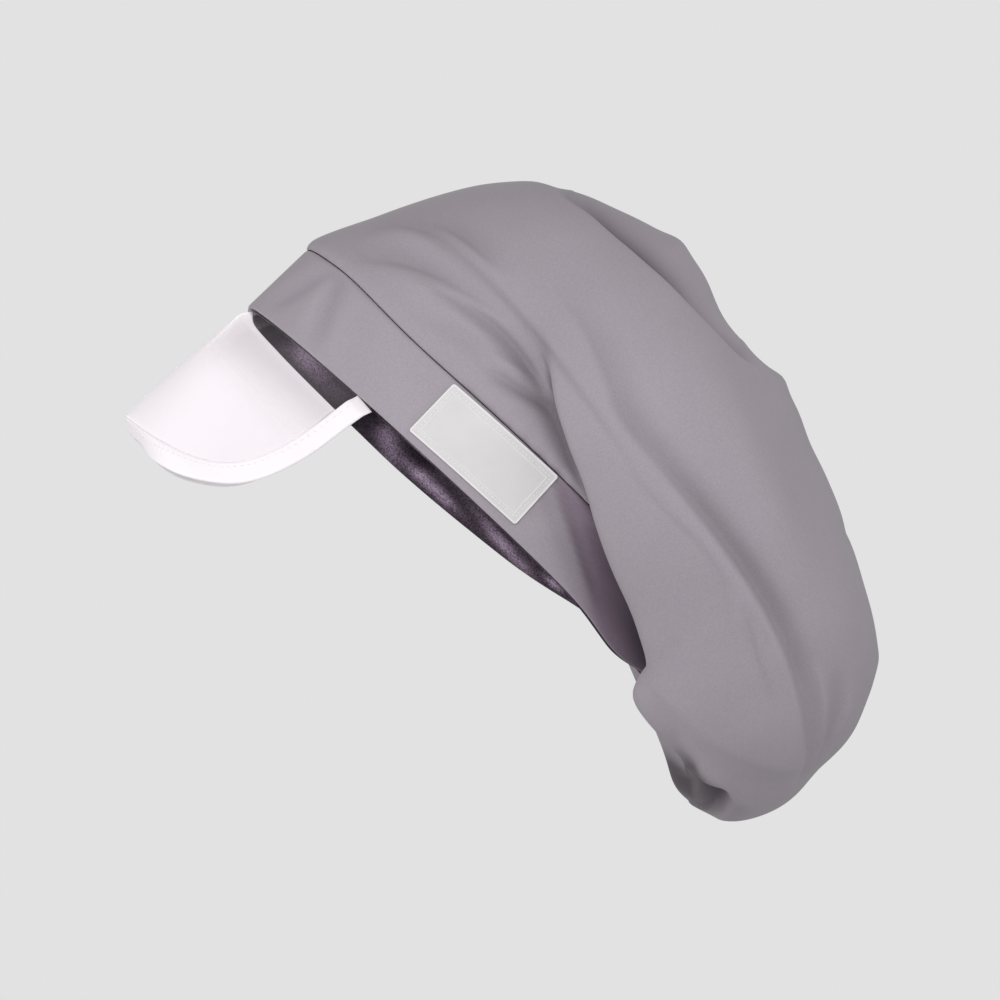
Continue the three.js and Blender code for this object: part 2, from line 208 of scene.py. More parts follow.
def shell_area(piece):
    """Area of one face of a thin closed shell, in square metres: half the sum over its faces."""
    areas = np.empty(len(piece.data.polygons))
    piece.data.polygons.foreach_get("area", areas)
    return areas.sum() / 2


def fit(piece, finish, slot, *nodes):
    """Gives a finished piece its material, sets it on the hat, and lets it stand for solids. Slot is not
    used.
    """
    piece.data.materials.append(finish)
    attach(piece, "root")
    if nodes:
        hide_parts(*nodes)
    print(f"{piece.name}: {len(piece.data.polygons)} faces, {shell_area(piece):.4f} m2 on one side")


# %% [markdown]
# ## Effects that several finishes share
#
# Three effects come back in most of the materials, so each is a node group with its own sockets, built
# once. Threads lays warp over weft as two crossed sine waves along the cloth's UV. Cloudiness is a slow
# noise that keeps a large area from being one flat colour. Fine grain is a quick noise for the grip of a
# surface. A picture of cloth could do the same, but a group stays sharp at any distance.

# %% Effects that several finishes share


def start_group(name, sockets_in, sockets_out):
    """An empty shader node group. Sockets are (name, type, value) going in and (name, type) coming out."""
    group = bpy.data.node_groups.new(name, "ShaderNodeTree")
    for label, kind, value in sockets_in:
        group.interface.new_socket(label, in_out="INPUT", socket_type=kind).default_value = value
    for label, kind in sockets_out:
        group.interface.new_socket(label, in_out="OUTPUT", socket_type=kind)
    return group, group.nodes.new("NodeGroupInput"), group.nodes.new("NodeGroupOutput")


def add_math(tree, operation, *values):
    """A math node on sockets or plain numbers, and its result. More than two values are taken in turn."""
    if len(values) > 2:
        values = (add_math(tree, operation, *values[:-1]), values[-1])
    node = tree.nodes.new("ShaderNodeMath")
    node.operation = operation
    for socket, value in zip(node.inputs, values):
        if isinstance(value, (int, float)):
            socket.default_value = value
        else:
            tree.links.new(value, socket)
    return node.outputs[0]


def add_line(tree, value, slope, start):
    """A straight line: start plus slope times a value."""
    return add_math(tree, "ADD", add_math(tree, "MULTIPLY", value, slope), start)


def read_mark(tree, name):
    """The number that the mesh carries for each point under a name."""
    node = tree.nodes.new("ShaderNodeAttribute")
    node.attribute_name = name
    return node.outputs["Fac"]


def threads_group():
    """Height of a plain weave: sin(x) sin(y) over the UV, where x and y turn once for every two threads.

    Softened by a cloud of noise, since no two threads are quite the same. Shade is the same pattern kept
    close to 1, to darken a colour between the threads.
    """
    group, given, result = start_group(
        "threads",
        [("Threads per Metre", "NodeSocketFloat", 2200), ("Shade", "NodeSocketFloat", 0.06)],
        [("Height", "NodeSocketFloat"), ("Shade", "NodeSocketFloat")],
    )
    place = group.nodes.new("ShaderNodeUVMap")
    place.uv_map = "cloth"
    split = group.nodes.new("ShaderNodeSeparateXYZ")
    group.links.new(place.outputs[0], split.inputs[0])
    turns = add_math(group, "MULTIPLY", given.outputs["Threads per Metre"], math.pi)
    x, y = (add_math(group, "MULTIPLY", split.outputs[axis], turns) for axis in (0, 1))
    warp, weft = add_math(group, "SINE", x), add_math(group, "SINE", y)
    lifted = add_line(group, add_math(group, "MULTIPLY", warp, weft), 0.5, 0.5)
    group.links.new(lifted, result.inputs["Height"])
    dark = add_math(group, "MULTIPLY", add_math(group, "SUBTRACT", 1.0, lifted), given.outputs["Shade"])
    group.links.new(add_math(group, "SUBTRACT", 1.0, dark), result.inputs["Shade"])
    return group


def noise_group(name, size, detail, low, high, dark_end=0.3, light_end=0.7):
    """Noise over Object coordinates, whose part from dark end to light end is stretched from low to high."""
    values = {"Scale": size, "Low": low, "High": high}
    sockets = [(label, "NodeSocketFloat", value) for label, value in values.items()]
    group, given, result = start_group(name, sockets, [("Value", "NodeSocketFloat")])
    place = group.nodes.new("ShaderNodeTexCoord")
    noise = group.nodes.new("ShaderNodeTexNoise")
    noise.inputs["Detail"].default_value = detail
    group.links.new(place.outputs["Object"], noise.inputs["Vector"])
    group.links.new(given.outputs["Scale"], noise.inputs["Scale"])
    spread = group.nodes.new("ShaderNodeMapRange")
    spread.inputs["From Min"].default_value, spread.inputs["From Max"].default_value = dark_end, light_end
    group.links.new(noise.outputs["Fac"], spread.inputs["Value"])
    group.links.new(given.outputs["Low"], spread.inputs["To Min"])
    group.links.new(given.outputs["High"], spread.inputs["To Max"])
    group.links.new(spread.outputs[0], result.inputs["Value"])
    return group


THREADS = threads_group()
CLOUDS = noise_group("cloudiness", 14, 3, 0.96, 1.04)
GRAIN = noise_group("fine grain", 2600, 2, 0.0, 1.0)
print("groups:", [group.name for group in (THREADS, CLOUDS, GRAIN)])

# %% [markdown]
# ## Finishes
#
# The outer cloth is a tight, matt, warm grey weave. The lining is dark satin, whose long floats give a
# narrow gloss. The visor is a clear film, clouded white by the light that it scatters once it has left
# the band. The binding is a white woven tape and the label is soft and rubbery. Each material sets its
# gloss, sheen and clearness on the shader itself, and the groups only vary colour, height and roughness.

# %% Tools for the finishes


def start_material(name, color, **values):
    """A Principled material. The values are put straight on the shader's own sockets."""
    material = bpy.data.materials.new(name)
    material.use_nodes = True
    shader = material.node_tree.nodes["Principled BSDF"]
    shader.inputs["Base Color"].default_value = (*color, 1)
    for label, value in values.items():
        shader.inputs[label.replace("_", " ").title().replace("Ior", "IOR")].default_value = value
    return material, material.node_tree, shader


def use_group(tree, group, **values):
    """Places a group in a material with its own values."""
    node = tree.nodes.new("ShaderNodeGroup")
    node.node_tree = group
    for label, value in values.items():
        node.inputs[label.replace("_", " ").title().replace(" Per ", " per ")].default_value = value
    return node


def shade_color(tree, shader, color, *shades):
    """Sets the base colour to a colour times values that vary over the surface."""
    factor = shades[0] if len(shades) == 1 else add_math(tree, "MULTIPLY", *shades)
    scale = tree.nodes.new("ShaderNodeVectorMath")
    scale.operation = "SCALE"
    scale.inputs[0].default_value = color
    tree.links.new(factor, scale.inputs["Scale"])
    tree.links.new(scale.outputs[0], shader.inputs["Base Color"])


def add_bump(tree, shader, height, depth, strength=1.0):
    """A bump whose full height is depth, in millimetres."""
    bump = tree.nodes.new("ShaderNodeBump")
    bump.inputs["Distance"].default_value = depth * 0.001
    bump.inputs["Strength"].default_value = strength
    tree.links.new(height, bump.inputs["Height"])
    tree.links.new(bump.outputs[0], shader.inputs["Normal"])


def shaded_finish(name, color, groups, bump=None, painted_highlight=None, **values):
    """A finish whose colour is shaded by groups, each given with its own values.

    Bump is the number of the group that lifts the surface, with its depth and strength. Paler, a painted
    highlight, is a mark of the mesh, with how much paler a place is where it is 1.
    """
    material, tree, shader = start_material(name, color, **values)
    nodes = [use_group(tree, group, **own) for group, own in groups]
    shades = [node.outputs[-1] for node in nodes]
    if painted_highlight:
        shades.append(add_line(tree, read_mark(tree, painted_highlight[0]), painted_highlight[1], 1.0))
    shade_color(tree, shader, color, *shades)
    if bump:
        add_bump(tree, shader, nodes[bump[0]].outputs[0], *bump[1:])
    return material


# %% The outer cloth


def cloth_finish(name, color, taken):
    """Tight warm grey weave: fine threads, slow cloudiness, a faint nap of sheen.

    Deep in a crease it is darker and on a ridge a little paler: painted shade and painted light, carried by
    the mark crease. Taken is the share of red, green and blue that a full crease takes away: more green
    than red or blue, since the light there has been through the cloth and comes out plum.
    """
    groups = [(THREADS, {"threads_per_metre": 2300, "shade": 0.06}),
              (CLOUDS, {"scale": 16, "low": 0.97, "high": 1.03}),
              (GRAIN, {"scale": 1500, "low": 0.94, "high": 1.06})]
    material = shaded_finish(name, color, groups, bump=(0, 0.03, 0.5), roughness=0.62, sheen_weight=0.12,
                             sheen_roughness=0.45, specular_ior_level=0.35)
    tree, base = material.node_tree, material.node_tree.nodes["Principled BSDF"].inputs["Base Color"]
    shaded = base.links[0].from_socket
    lost, left, tinted = (tree.nodes.new("ShaderNodeVectorMath") for _ in range(3))
    lost.operation, left.operation, tinted.operation = "SCALE", "SUBTRACT", "MULTIPLY"
    lost.inputs[0].default_value, left.inputs[0].default_value = taken, (1, 1, 1)
    for start, end in ((read_mark(tree, "crease"), lost.inputs["Scale"]), (lost.outputs[0], left.inputs[1]),
                       (left.outputs[0], tinted.inputs[0]), (shaded, tinted.inputs[1]),
                       (tinted.outputs[0], base)):
        tree.links.new(start, end)
    return material


# The last three numbers tint the painted shade; the band's is the stronger, for the painted shade under the
# bag's lip.
CROWN_CLOTH = cloth_finish("crown cloth", (0.350, 0.313, 0.350), (1, 1.03, 1))
BAND_CLOTH = cloth_finish("band cloth", (0.358, 0.319, 0.358), (0.97, 1.15, 0.98))
print("cloth made")

# %% [markdown]
# ### Satin, film, tape and label
#
# Satin shines in streaks, so its roughness changes from thread to thread and its gloss is stretched one
# way, and its colour is made paler along the streaks, a painted highlight. The film is clear in a strip
# under the rim and clouded white below: the mesh carries how clouded each point is, and a map turns that
# into the film's cover.

# %% Satin, film, tape and label


def streaks_group():
    """Slanting streaks from 0 to 1: a noise group whose coordinates are drawn out along the band."""
    group = noise_group("satin streaks", 30, 2, 0.0, 1.0, 0.42, 0.66)
    names = ("Texture Coordinate", "Noise Texture", "Map Range")
    place, noise, spread = (group.nodes[name] for name in names)
    turned = group.nodes.new("ShaderNodeMapping")
    turned.inputs["Rotation"].default_value = (math.radians(-20), 0, 0)
    turned.inputs["Scale"].default_value = (1, 0.55, 1.5)
    group.links.new(place.outputs["Object"], turned.inputs["Vector"])
    group.links.new(turned.outputs[0], noise.inputs["Vector"])
    noise.inputs["Distortion"].default_value = 0.8
    spread.interpolation_type = "SMOOTHSTEP"
    return group


def satin_finish():
    """Dark plum satin: a gleam where a mark of the mesh says, broken into streaks, over fine grain.

    The gleam is gloss, the shader's specular level rising from 0.08 to about 1 along it, and a painted
    highlight too: the base colour is taken 0.5 plus 8 times the gleam, darker where the mark is below 0.
    """
    color = (0.070, 0.050, 0.074)
    material, tree, shader = start_material(
        "lining satin", color, sheen_weight=0.1, sheen_roughness=0.35, ior=2.1, anisotropic=0.5,
        sheen_tint=(0.80, 0.62, 0.86, 1), specular_tint=(1.0, 0.82, 1.0, 1))
    threads = use_group(tree, THREADS, threads_per_metre=3000, shade=0.15)
    grain = use_group(tree, GRAIN, scale=1500, low=0.35, high=1.65)
    streaks = use_group(tree, streaks_group())
    streaked = add_line(tree, streaks.outputs[0], 0.6, 0.5)
    crest_light = add_math(tree, "MULTIPLY", read_mark(tree, "gloss_and_painted_gleam"), streaked)
    glossy = add_line(tree, crest_light, grain.outputs[0], 0.08)
    tree.links.new(glossy, shader.inputs["Specular IOR Level"])
    # Painted highlight: the base colour grows with the gleam, and painted shade where it is below 0.
    painted_gleam = add_line(tree, crest_light, 8.0, 0.5)
    shade_color(tree, shader, color, threads.outputs["Shade"], grain.outputs[0], painted_gleam)
    rough = use_group(tree, GRAIN, scale=1900, low=0.28, high=0.48)
    tree.links.new(rough.outputs[0], shader.inputs["Roughness"])
    add_bump(tree, shader, grain.outputs[0], 0.10, 0.7)
    return material


def film_finish():
    """Clear film: its cover from the attribute clouded, gloss from the shader, a glow.

    The glow is painted light: it stands for the light of the white tent that comes through the clouded film
    from behind.
    """
    material, tree, shader = start_material(
        "visor film", (0.60, 0.56, 0.595), ior=1.49, specular_ior_level=0.6, sheen_weight=0.4,
        sheen_roughness=0.3, coat_weight=0.3, coat_roughness=0.05, emission_strength=0.42,
        emission_color=(1.0, 0.955, 0.99, 1))
    cover = tree.nodes.new("ShaderNodeMapRange")
    cover.inputs["To Min"].default_value, cover.inputs["To Max"].default_value = 0.02, 0.88
    tree.links.new(read_mark(tree, "clouded"), cover.inputs["Value"])
    clouds = use_group(tree, CLOUDS, scale=22, low=0.95, high=1.05)
    tree.links.new(add_math(tree, "MULTIPLY", cover.outputs[0], clouds.outputs[0]), shader.inputs["Alpha"])
    rough = use_group(tree, CLOUDS, scale=60, low=0.09, high=0.16)
    tree.links.new(rough.outputs[0], shader.inputs["Roughness"])
    return material


def thread_finish(name, color):
    """Sewing thread: a plain yarn with a little grain."""
    grain = {"scale": 3000, "low": 0.9, "high": 1.05}
    return shaded_finish(name, color, [(GRAIN, grain)], roughness=0.5, sheen_weight=0.2)


LINING_SATIN, VISOR_FILM = satin_finish(), film_finish()
# White woven tape: thin, so that light also comes through it from behind, painted as a faint glow.
BINDING_TAPE = shaded_finish(
    "binding tape", (0.76, 0.72, 0.75),
    [(THREADS, {"threads_per_metre": 2000, "shade": 0.04}),
     (CLOUDS, {"scale": 40, "low": 0.98, "high": 1.02})],
    bump=(0, 0.03, 0.4), roughness=0.55, sheen_weight=0.2, sheen_roughness=0.4, emission_strength=0.2,
    emission_color=(1.0, 0.97, 0.99, 1))
# Soft rubbery label: satin gloss, very fine moulded grain, a painted highlight that makes it paler where its
# rim is raised, and bare.
LABEL_RUBBER = shaded_finish(
    "label rubber", (0.66, 0.64, 0.653),
    [(CLOUDS, {"scale": 70, "low": 0.98, "high": 1.03}), (GRAIN, {"scale": 2200, "low": 0.98, "high": 1.02})],
    bump=(1, 0.02, 0.5), painted_highlight=("raised", 0.22), roughness=0.5, specular_ior_level=0.35)
TAPE_THREAD = thread_finish("tape thread", (0.90, 0.88, 0.90))
LABEL_THREAD = thread_finish("label thread", (0.90, 0.89, 0.90))
print("materials:", [material.name for material in bpy.data.materials])

# %% [markdown]
# ## The head opening
#
# Everything that is sewn to the band is laid out round the opening: an angle from the middle of the
# forehead toward the wearer's left, a height w above the rim, and an inset from the band's outer face.
# The opening is an ellipse, a little narrower at the top of the band, and it drops 43 degrees from the
# forehead to the nape. These are the same numbers as in the solid model.

# %% The head opening
TILT = math.radians(43)
RIM_HALF_LENGTH, RIM_HALF_WIDTH = 105.6, 80.0
BAND_HEIGHT, LENGTH_TAPER, WIDTH_TAPER = 30.0, 1.6, 1.0
BAND_WALL = 1.6
LINING_HEIGHT = 28.0


def in_hat(x, u, w):
    """A point given by the opening's own directions, u toward the nape and w up, turned by the tilt."""
    y = u * math.cos(TILT) + w * math.sin(TILT)
    z = w * math.cos(TILT) - u * math.sin(TILT)
    return np.stack(np.broadcast_arrays(x, y, z), -1)


def band_axes(w):
    """Half length a and half width b of the band's outer ellipse at height w."""
    rise = w / BAND_HEIGHT
    return RIM_HALF_LENGTH - LENGTH_TAPER * rise, RIM_HALF_WIDTH - WIDTH_TAPER * rise


def band_out(angle, w):
    """Outward direction of the band, (x, u): the ellipse's normal (sin / b, -cos / a) at unit length."""
    a, b = band_axes(w)
    out_x, out_u = np.sin(angle) / b, -np.cos(angle) / a
    long = np.hypot(out_x, out_u)
    return out_x / long, out_u / long


def band_place(angle, w, inset):
    """Point of the ellipse (b sin, -a cos) at height w, moved inward by inset along its normal."""
    a, b = band_axes(w)
    out_x, out_u = band_out(angle, w)
    return in_hat(b * np.sin(angle) - out_x * inset, -a * np.cos(angle) - out_u * inset, w)


def rim_lift(angle):
    """How far the worn rim lies above its plane: lower behind the label, higher on the right of the nape."""
    d = np.degrees(angle)
    nape = 6.5 * bell((d + 140) / 22) - 3.4 * bell((d - 139) / 13)
    return nape - 2.1 * smooth_step(0, 15, -d) * (1 - smooth_step(75, 110, -d))


def seam_lift(angle):
    """How far the seam lies above the band's even height: higher at the forehead, lower at the sides."""
    d = np.degrees(np.abs(angle))
    return 0.9 * (1 - smooth_step(30, 60, d)) - 2.4 * smooth_step(30, 68, d) * (1 - smooth_step(115, 155, d))


def worn_height(angle, w):
    """Height of a point of the band once worn: the rim's lift fades upward and the seam's downward."""
    rise = w / BAND_HEIGHT
    return w + rim_lift(angle) * (1 - rise) + seam_lift(angle) * np.clip(rise, 0, 1)


print("rim from", np.round(band_place(0.0, 0.0, 0.0), 1), "to", np.round(band_place(np.pi, 0.0, 0.0), 1))

# %% [markdown]
# ## The crown's smooth form
#
# The crown is a bag of cloth. Sliced across, from the band's seam to the closed back, it is a row of
# hoops, and each hoop is told by its top, its side and its bottom point. A spline runs from hoop to hoop,
# so few numbers give a smooth bag. Where the cloth hangs forward over the band, two more columns pull a
# hoop's sides in and back, and the hoops overlap like a sleeve pushed up an arm. The same table shapes
# the solid model, so both have one form. A few round pushes and bells mend it where the picture asks.

# %% The crown's smooth form
HOOPS = [
    # name, top y, top z, side y, side z, half width, bottom y, bottom z, tucked in, tucked back
    ("seam", -55.6, 92.9, 20.5, 21.9, 79, 96.5, -49, 0, 0),
    ("roll", -54.5, 97, 22.5, 23.5, 81.5, 99.5, -50.5, 0, 0),
    ("front", -40, 102.5, 30, 26, 83, 99, -62, 4, 5),
    ("root", -20, 110, 38, 27, 86, 96, -80, 15, 12),
    ("lip", 2, 117, 46, 27, 89, 86, -103, -2, -17),
    ("shoulder", 22, 121, 57, 25, 94, 96, -125, -7, -10),
    ("near", 44, 119, 70, 21, 100, 116, -124.5, -3, 0),
    ("middle", 67, 110, 87, 14, 102, 138, -112, 0, 0),
    ("rear", 94, 93.5, 105, 2, 97, 154, -91, 0, 0),
    ("back", 108, 62, 124, -10, 78, 163, -66, 0, 0),
    ("cap", 139, 32, 142, -18, 46, 164, -45, 0, 0),
    ("pole", 149.5, -14, 149.5, -14, 0, 149.5, -14, 0, 0),
]
TUCK_STARTS, TUCK_FULL, RIGHT_SIDE_TUCK = 50, 96, 0.3
PUSHES = [
    # name, x, y, z, radius, push x, push y, push z
    ("nape corner", 50, 72, -77, 15, 0, -13, 4),
    ("lip", 80, 42, -18, 30, 0, -5.5, -1),
    ("upper lip", 80, 30, 28, 20, 0, -5.5, -1),
]
OUTLINE = [
    # y, z, radius, height outward: corners and hollows of the bag's outline as seen from the side
    (50, 110, 9, 1.0), (85, 97, 6, 1.8), (103, 70, 13, -1.6), (125, 45, 5, 1.8), (137, 22, 13, -2.4),
    (150, -13, 17, 2.4), (161, -45, 12, -0.9), (166, -62, 5, 1.4), (140, -105, 14, -2.6), (163, -82, 9, -1.0),
    (89, -114, 8, 3.0),
]


def hoop_rows(h):
    """Row of the table at any place h between hoops: a uniform cubic B-spline through four rows."""
    table = np.array([row[1:] for row in HOOPS], float)
    table = np.vstack([2 * table[0] - table[1], table, 2 * table[-1] - table[-2]])
    i = np.clip(np.floor(h).astype(int), 0, len(HOOPS) - 2)
    f = (h - i)[..., None]
    shares = ((1 - f) ** 3, 3 * f ** 3 - 6 * f ** 2 + 4, -3 * f ** 3 + 3 * f ** 2 + 3 * f + 1, f ** 3)
    return sum(share * table[i + row] for row, share in enumerate(shares)) / 6


def crown_form(angle, h):
    """The bag without its folds: with c = cos(angle) and s = sin(angle), a hoop's point is

    side + c (top - bottom) / 2 + c^2 ((top + bottom) / 2 - side) seen from the side, and s times the half
    width across. The tuck comes in from 50 to 96 degrees, less on the wearer's right. The first hoops
    follow the seam up and down.
    """
    *top, side_y, side_z, half, bottom_y, bottom_z, tuck_in, tuck_back = np.moveaxis(hoop_rows(h), -1, 0)
    c, s = np.cos(angle), np.sin(angle)
    turned = np.degrees(np.arccos(np.clip(c, -1, 1)))
    tuck = smooth_step(TUCK_STARTS, TUCK_FULL, turned) * np.where(s < 0, RIGHT_SIDE_TUCK, 1)
    y, z = (side + c * (high - low) / 2 + c * c * ((high + low) / 2 - side)
            for high, low, side in zip(top, (bottom_y, bottom_z), (side_y, side_z)))
    form = np.stack([(half - tuck * tuck_in) * s, y + tuck * tuck_back * np.abs(s), z], -1)
    form = form + in_hat(0.0, 0.0, seam_lift(np.arctan2(s, c)) * (1 - smooth_step(0.2, 1.6, h)))
    free = smooth_step(2.6, 3.4, h)[..., None]
    for _, x0, y0, z0, radius, *push in PUSHES:
        near = np.exp(-((form - (x0, y0, z0)) ** 2).sum(-1, keepdims=True) / radius ** 2)
        form = form + near * free * np.array(push)
    return form


def outward(grid):
    """Outward direction at each point: the step round the hoop crossed with the step along the bag."""
    across = np.cross(np.roll(grid, -1, 1) - np.roll(grid, 1, 1), np.gradient(grid, axis=0))
    return across / np.linalg.norm(across, axis=-1, keepdims=True)


# %% [markdown]
# ## The crown's folds
#
# Soft cloth falls into long folds, deep where it is pulled and flat where it is free. They could be left
# to a cloth simulation, but then they would lie anywhere. Here each fold is a curve drawn on the side view
# of the bag, and the cloth rises or sinks along it in a bell. Its width differs on the two sides, and a
# narrow side gives the crisp edge that cloth has where it doubles over. Little light finds its way into a
# crease, so each fold also has a painted shade, which the mesh carries to the material, and a ridge a
# little painted light. Small ripples at the seam are the gathers of the cloth sewn to the shorter band,
# and a slow swell over the whole bag is its slackness.

# %% The crown's folds
BACK_LINE = [(40, 112), (53, 102.5), (64, 91), (74, 81.5), (87, 69), (106, 52)]
FOLDS = [
    # name, side, height, painted shade (below 0 painted light), width in front, width behind, first hoop,
    # last hoop, then places (y, z)
    ("lip crease", 1, -2.4, 0.22, 4.5, 1.6, 0.5, 2.9,
     [(-8, 74), (-1, 67), (7, 62), (16, 56), (25, 43), (31, 31), (36, 14), (40, -2), (47, -22)]),
    ("lip shadow", 1, 0, 0.10, 5, 5, 0.0, 3.2, [(27, 48), (31, 31), (36, 14), (42, -2), (50, -22)]),
    ("front valley", 1, -1.9, 0.10, 2.5, 7, 0.8, 12,
     [(-40, 87), (-24, 86), (-14, 84), (-7, 79), (1, 74), (12, 67)]),
    ("front ridge", 1, 1.5, -0.03, 4, 3, 0.8, 12,
     [(-33, 96), (-24, 96), (-15, 94), (-9, 89), (-2, 81), (8, 72)]),
    ("above ridge", 1, -1.2, 0.10, 2, 6, 1, 12, [(-34, 98), (-24, 100), (-13, 98), (-5, 94)]),
    ("peak valley", 1, -1.4, 0.12, 1.6, 7, 1.4, 12, [(-12, 102), (-1, 96), (5, 90), (12, 84)]),
    ("thin crease", 1, -0.6, 0.16, 1.4, 1.4, 1.8, 12,
     [(-7, 94), (5, 80), (12, 73), (19, 64), (26, 54), (32, 45), (42, 30), (52, 16)]),
    ("low ridge", 1, 1.4, -0.03, 5, 3, 0.3, 2.6, [(-28, 82), (-12, 73), (-2, 64), (9, 56), (18, 48)]),
    ("low valley", 1, -0.9, 0.06, 4, 3, 0.3, 2.6, [(-18, 66), (-1, 57), (12, 46)]),
    ("small fold", 1, -1.9, 0.14, 3, 1.3, 0.2, 3, [(8, 45), (11, 43), (17, 40), (24, 36), (34, 32)]),
    ("small ridge", 1, 1.8, -0.04, 2.6, 2.6, 0.2, 3, [(6, 52), (14, 47), (21, 43), (28, 38)]),
    ("shoulder crease", 1, -1.8, 0.10, 2.2, 8, 3, 12,
     [(33, 72), (40, 63), (44, 53), (48, 42), (53, 30), (60, 18)]),
    ("bag valley", 1, -4.2, 0.18, 1.9, 6, 2.8, 12,
     [(51, 32), (61, 17), (71, 4), (89, -15), (104, -35), (113, -50), (120, -70), (125, -86), (129, -102)]),
    ("bag ridge", 1, 1.0, -0.03, 6, 2.5, 2.8, 12,
     [(57, 14), (67, 1), (76, -8), (92, -28), (106, -47), (112, -58), (116, -72), (121, -88)]),
    ("bag crease", 1, -0.4, 0.07, 1.3, 1.3, 3, 12,
     [(52, 16), (58, 7), (66, -5), (77, -13), (87, -27), (92, -42)]),
    ("low bag crease", 1, -0.4, 0.07, 1.3, 1.3, 3, 12, [(97, -38), (102, -54), (111, -75)]),
    ("back slope", 1, -8, 0, 3, 13, 2.6, 12, BACK_LINE),
    ("back valley", 1, -4, 0.75, 1.6, 4.5, 2.6, 12, BACK_LINE),
    ("back shade", 1, 0, 0.45, 2, 6, 2.6, 12, [(50, 108), (57, 101), (66, 92.5), (76, 83), (87, 72)]),
    ("under turn", 1, 5, 0, 6, 24, 2.6, 12,
     [(66, -62), (77, -73), (85, -79), (95, -88), (106, -93), (119, -97), (132, -97)]),
    ("corner hollow", 1, -6, 0.3, 9, 2.2, 3.3, 12,
     [(85, -101), (88, -107), (92, -110), (98, -112), (100, -119)]),
    ("corner shade", 0, 0, 1.3, 14, 2.5, 2.2, 12,
     [(78, -91), (83, -99), (90, -107), (97, -112), (103, -116)]),
    ("gather one", 1, 1.4, -0.05, 1.8, 1.8, 3, 12, [(127, -63), (131, -76), (132, -88), (132, -102)]),
    ("gather two", 1, 1.4, -0.05, 1.8, 1.8, 3, 12, [(142, -68), (141, -83), (138, -93), (135, -102)]),
    ("gather between", 1, -1.6, 0.10, 4, 4, 3, 12, [(134, -62), (137, -74), (137, -86), (135, -98)]),
    ("right valley", -1, -5, 0.10, 14, 18, 2.2, 12, [(30, 104), (70, 60), (112, 30)]),
    ("right bag valley", -1, -4, 0.08, 18, 20, 2.2, 12, [(60, 40), (90, -20), (122, -80)]),
    ("right front fold", -1, -2, 0.08, 7, 5, 0.8, 12, [(-26, 92), (-8, 80), (12, 62), (28, 44)]),
    ("right low fold", -1, -2.5, 0.08, 6, 9, 2.6, 12, [(80, -70), (104, -84), (126, -92)]),
]
LINE_STEPS = 41


def fold_line(places):
    """A smooth curve through the places: y and z are each a cubic of the length run from place to place."""
    places = np.array(places, float)
    run, power = length_run(places), min(3, len(places) - 1)
    at = np.linspace(0, run[-1], LINE_STEPS)
    return np.stack([np.polyval(np.polyfit(run, places[:, axis], power), at) for axis in (0, 1)], -1)


def fold_share(grid, h, fold):
    """How far each point lies in one fold, 0 to 1: exp(-(distance / width)^2) from the fold's curve.

    The nearest of 41 places on the curve is found for the whole grid at once. Past the curve's ends the two
    widths flow into each other. The share fades toward the ends as sin(pi (0.05 + 0.9 t))^0.8, toward the
    hat's middle line and outside its hoops. Side 0 is a fold on both sides, at two thirds.
    """
    _, side, _, _, in_front, behind, first, last, places = fold
    line = fold_line(places)
    step = np.gradient(line, axis=0)
    nearest = ((grid[..., None, 1:] - line) ** 2).sum(-1).argmin(-1)
    off, run = grid[..., 1:] - line[nearest], step[nearest]
    size = np.linalg.norm(run, axis=-1)
    along = (off * run).sum(-1) / size
    across = (off[..., 0] * run[..., 1] - off[..., 1] * run[..., 0]) / size
    between = (nearest > 0) & (nearest < LINE_STEPS - 1)
    t = np.clip((nearest + np.where(between, along / size, 0)) / (LINE_STEPS - 1), 0, 1)
    past = np.where(between, 0, np.maximum(np.where(nearest == 0, -along, along), 0))
    reach, blend = np.hypot(across, past), 0.01 + 1.5 * past
    width = behind + (in_front - behind) * smooth_step(-blend, blend, across)
    fade = np.sin(np.pi * (0.05 + 0.9 * t)) ** 0.8 * smooth_step(-30, 20, grid[..., 0] * side)
    hoops = smooth_step(first, first + 0.8, h) * (1 - smooth_step(last, last + 0.6, h))
    return bell(reach / width) * fade * hoops


def seam_ripples(angle, h):
    """Gathers at the seam: a sine round the hoop whose pace wanders, deepest at the nape, gone by hoop 2."""
    pace = 64 * angle + 3.1 * np.sin(3 * angle + 0.4) + 2.2 * np.sin(7 * angle + 1.9)
    depth = 0.12 + 0.55 * smooth_step(70, 150, np.degrees(np.abs(angle)))
    return depth * np.sin(pace) * bell(h / 0.9) * smooth_step(0, 0.15, h)


def crown_surface(angle, h):
    """Outer face of the crown: the form, moved along its outward direction.

    The move is the sum of the folds, the corners of the outline as round bells, the gathers at the seam,
    a slow slackness over the bag and a small dip where the crown is sewn to the band. The painted shade of
    each point, deep in a crease, comes with it, as does a little painted light on a ridge.
    """
    form = crown_form(angle, h)
    shares = [fold_share(form, h, fold) for fold in FOLDS]
    # dark is the folds' painted shade, and below 0 their painted light.
    lift, dark = (sum(share * fold[column] for share, fold in zip(shares, FOLDS)) for column in (2, 3))
    for y, z, radius, height in OUTLINE:
        lift = lift + height * bell(np.hypot(form[..., 1] - y, form[..., 2] - z) / radius)
    slack = (0.35 * soft_waves(form, 62, 4) + 0.2 * soft_waves(form, 27, 9)) * smooth_step(0.6, 2.5, h)
    lift = lift + slack + seam_ripples(angle, h) - 0.32 * bell(h / 0.10)
    return form + outward(form) * lift[..., None], np.clip(dark, -0.1, 0.8)


# %% [markdown]
# ## The crown and its lining as cloth
#
# One wall of cloth: the outer face from the seam to the closed back, and the inner face 0.7 mm inside it,
# joined at the seam. The columns are closer on the side that shows the finest folds. The satin lining is
# a second, thinner skin just inside.

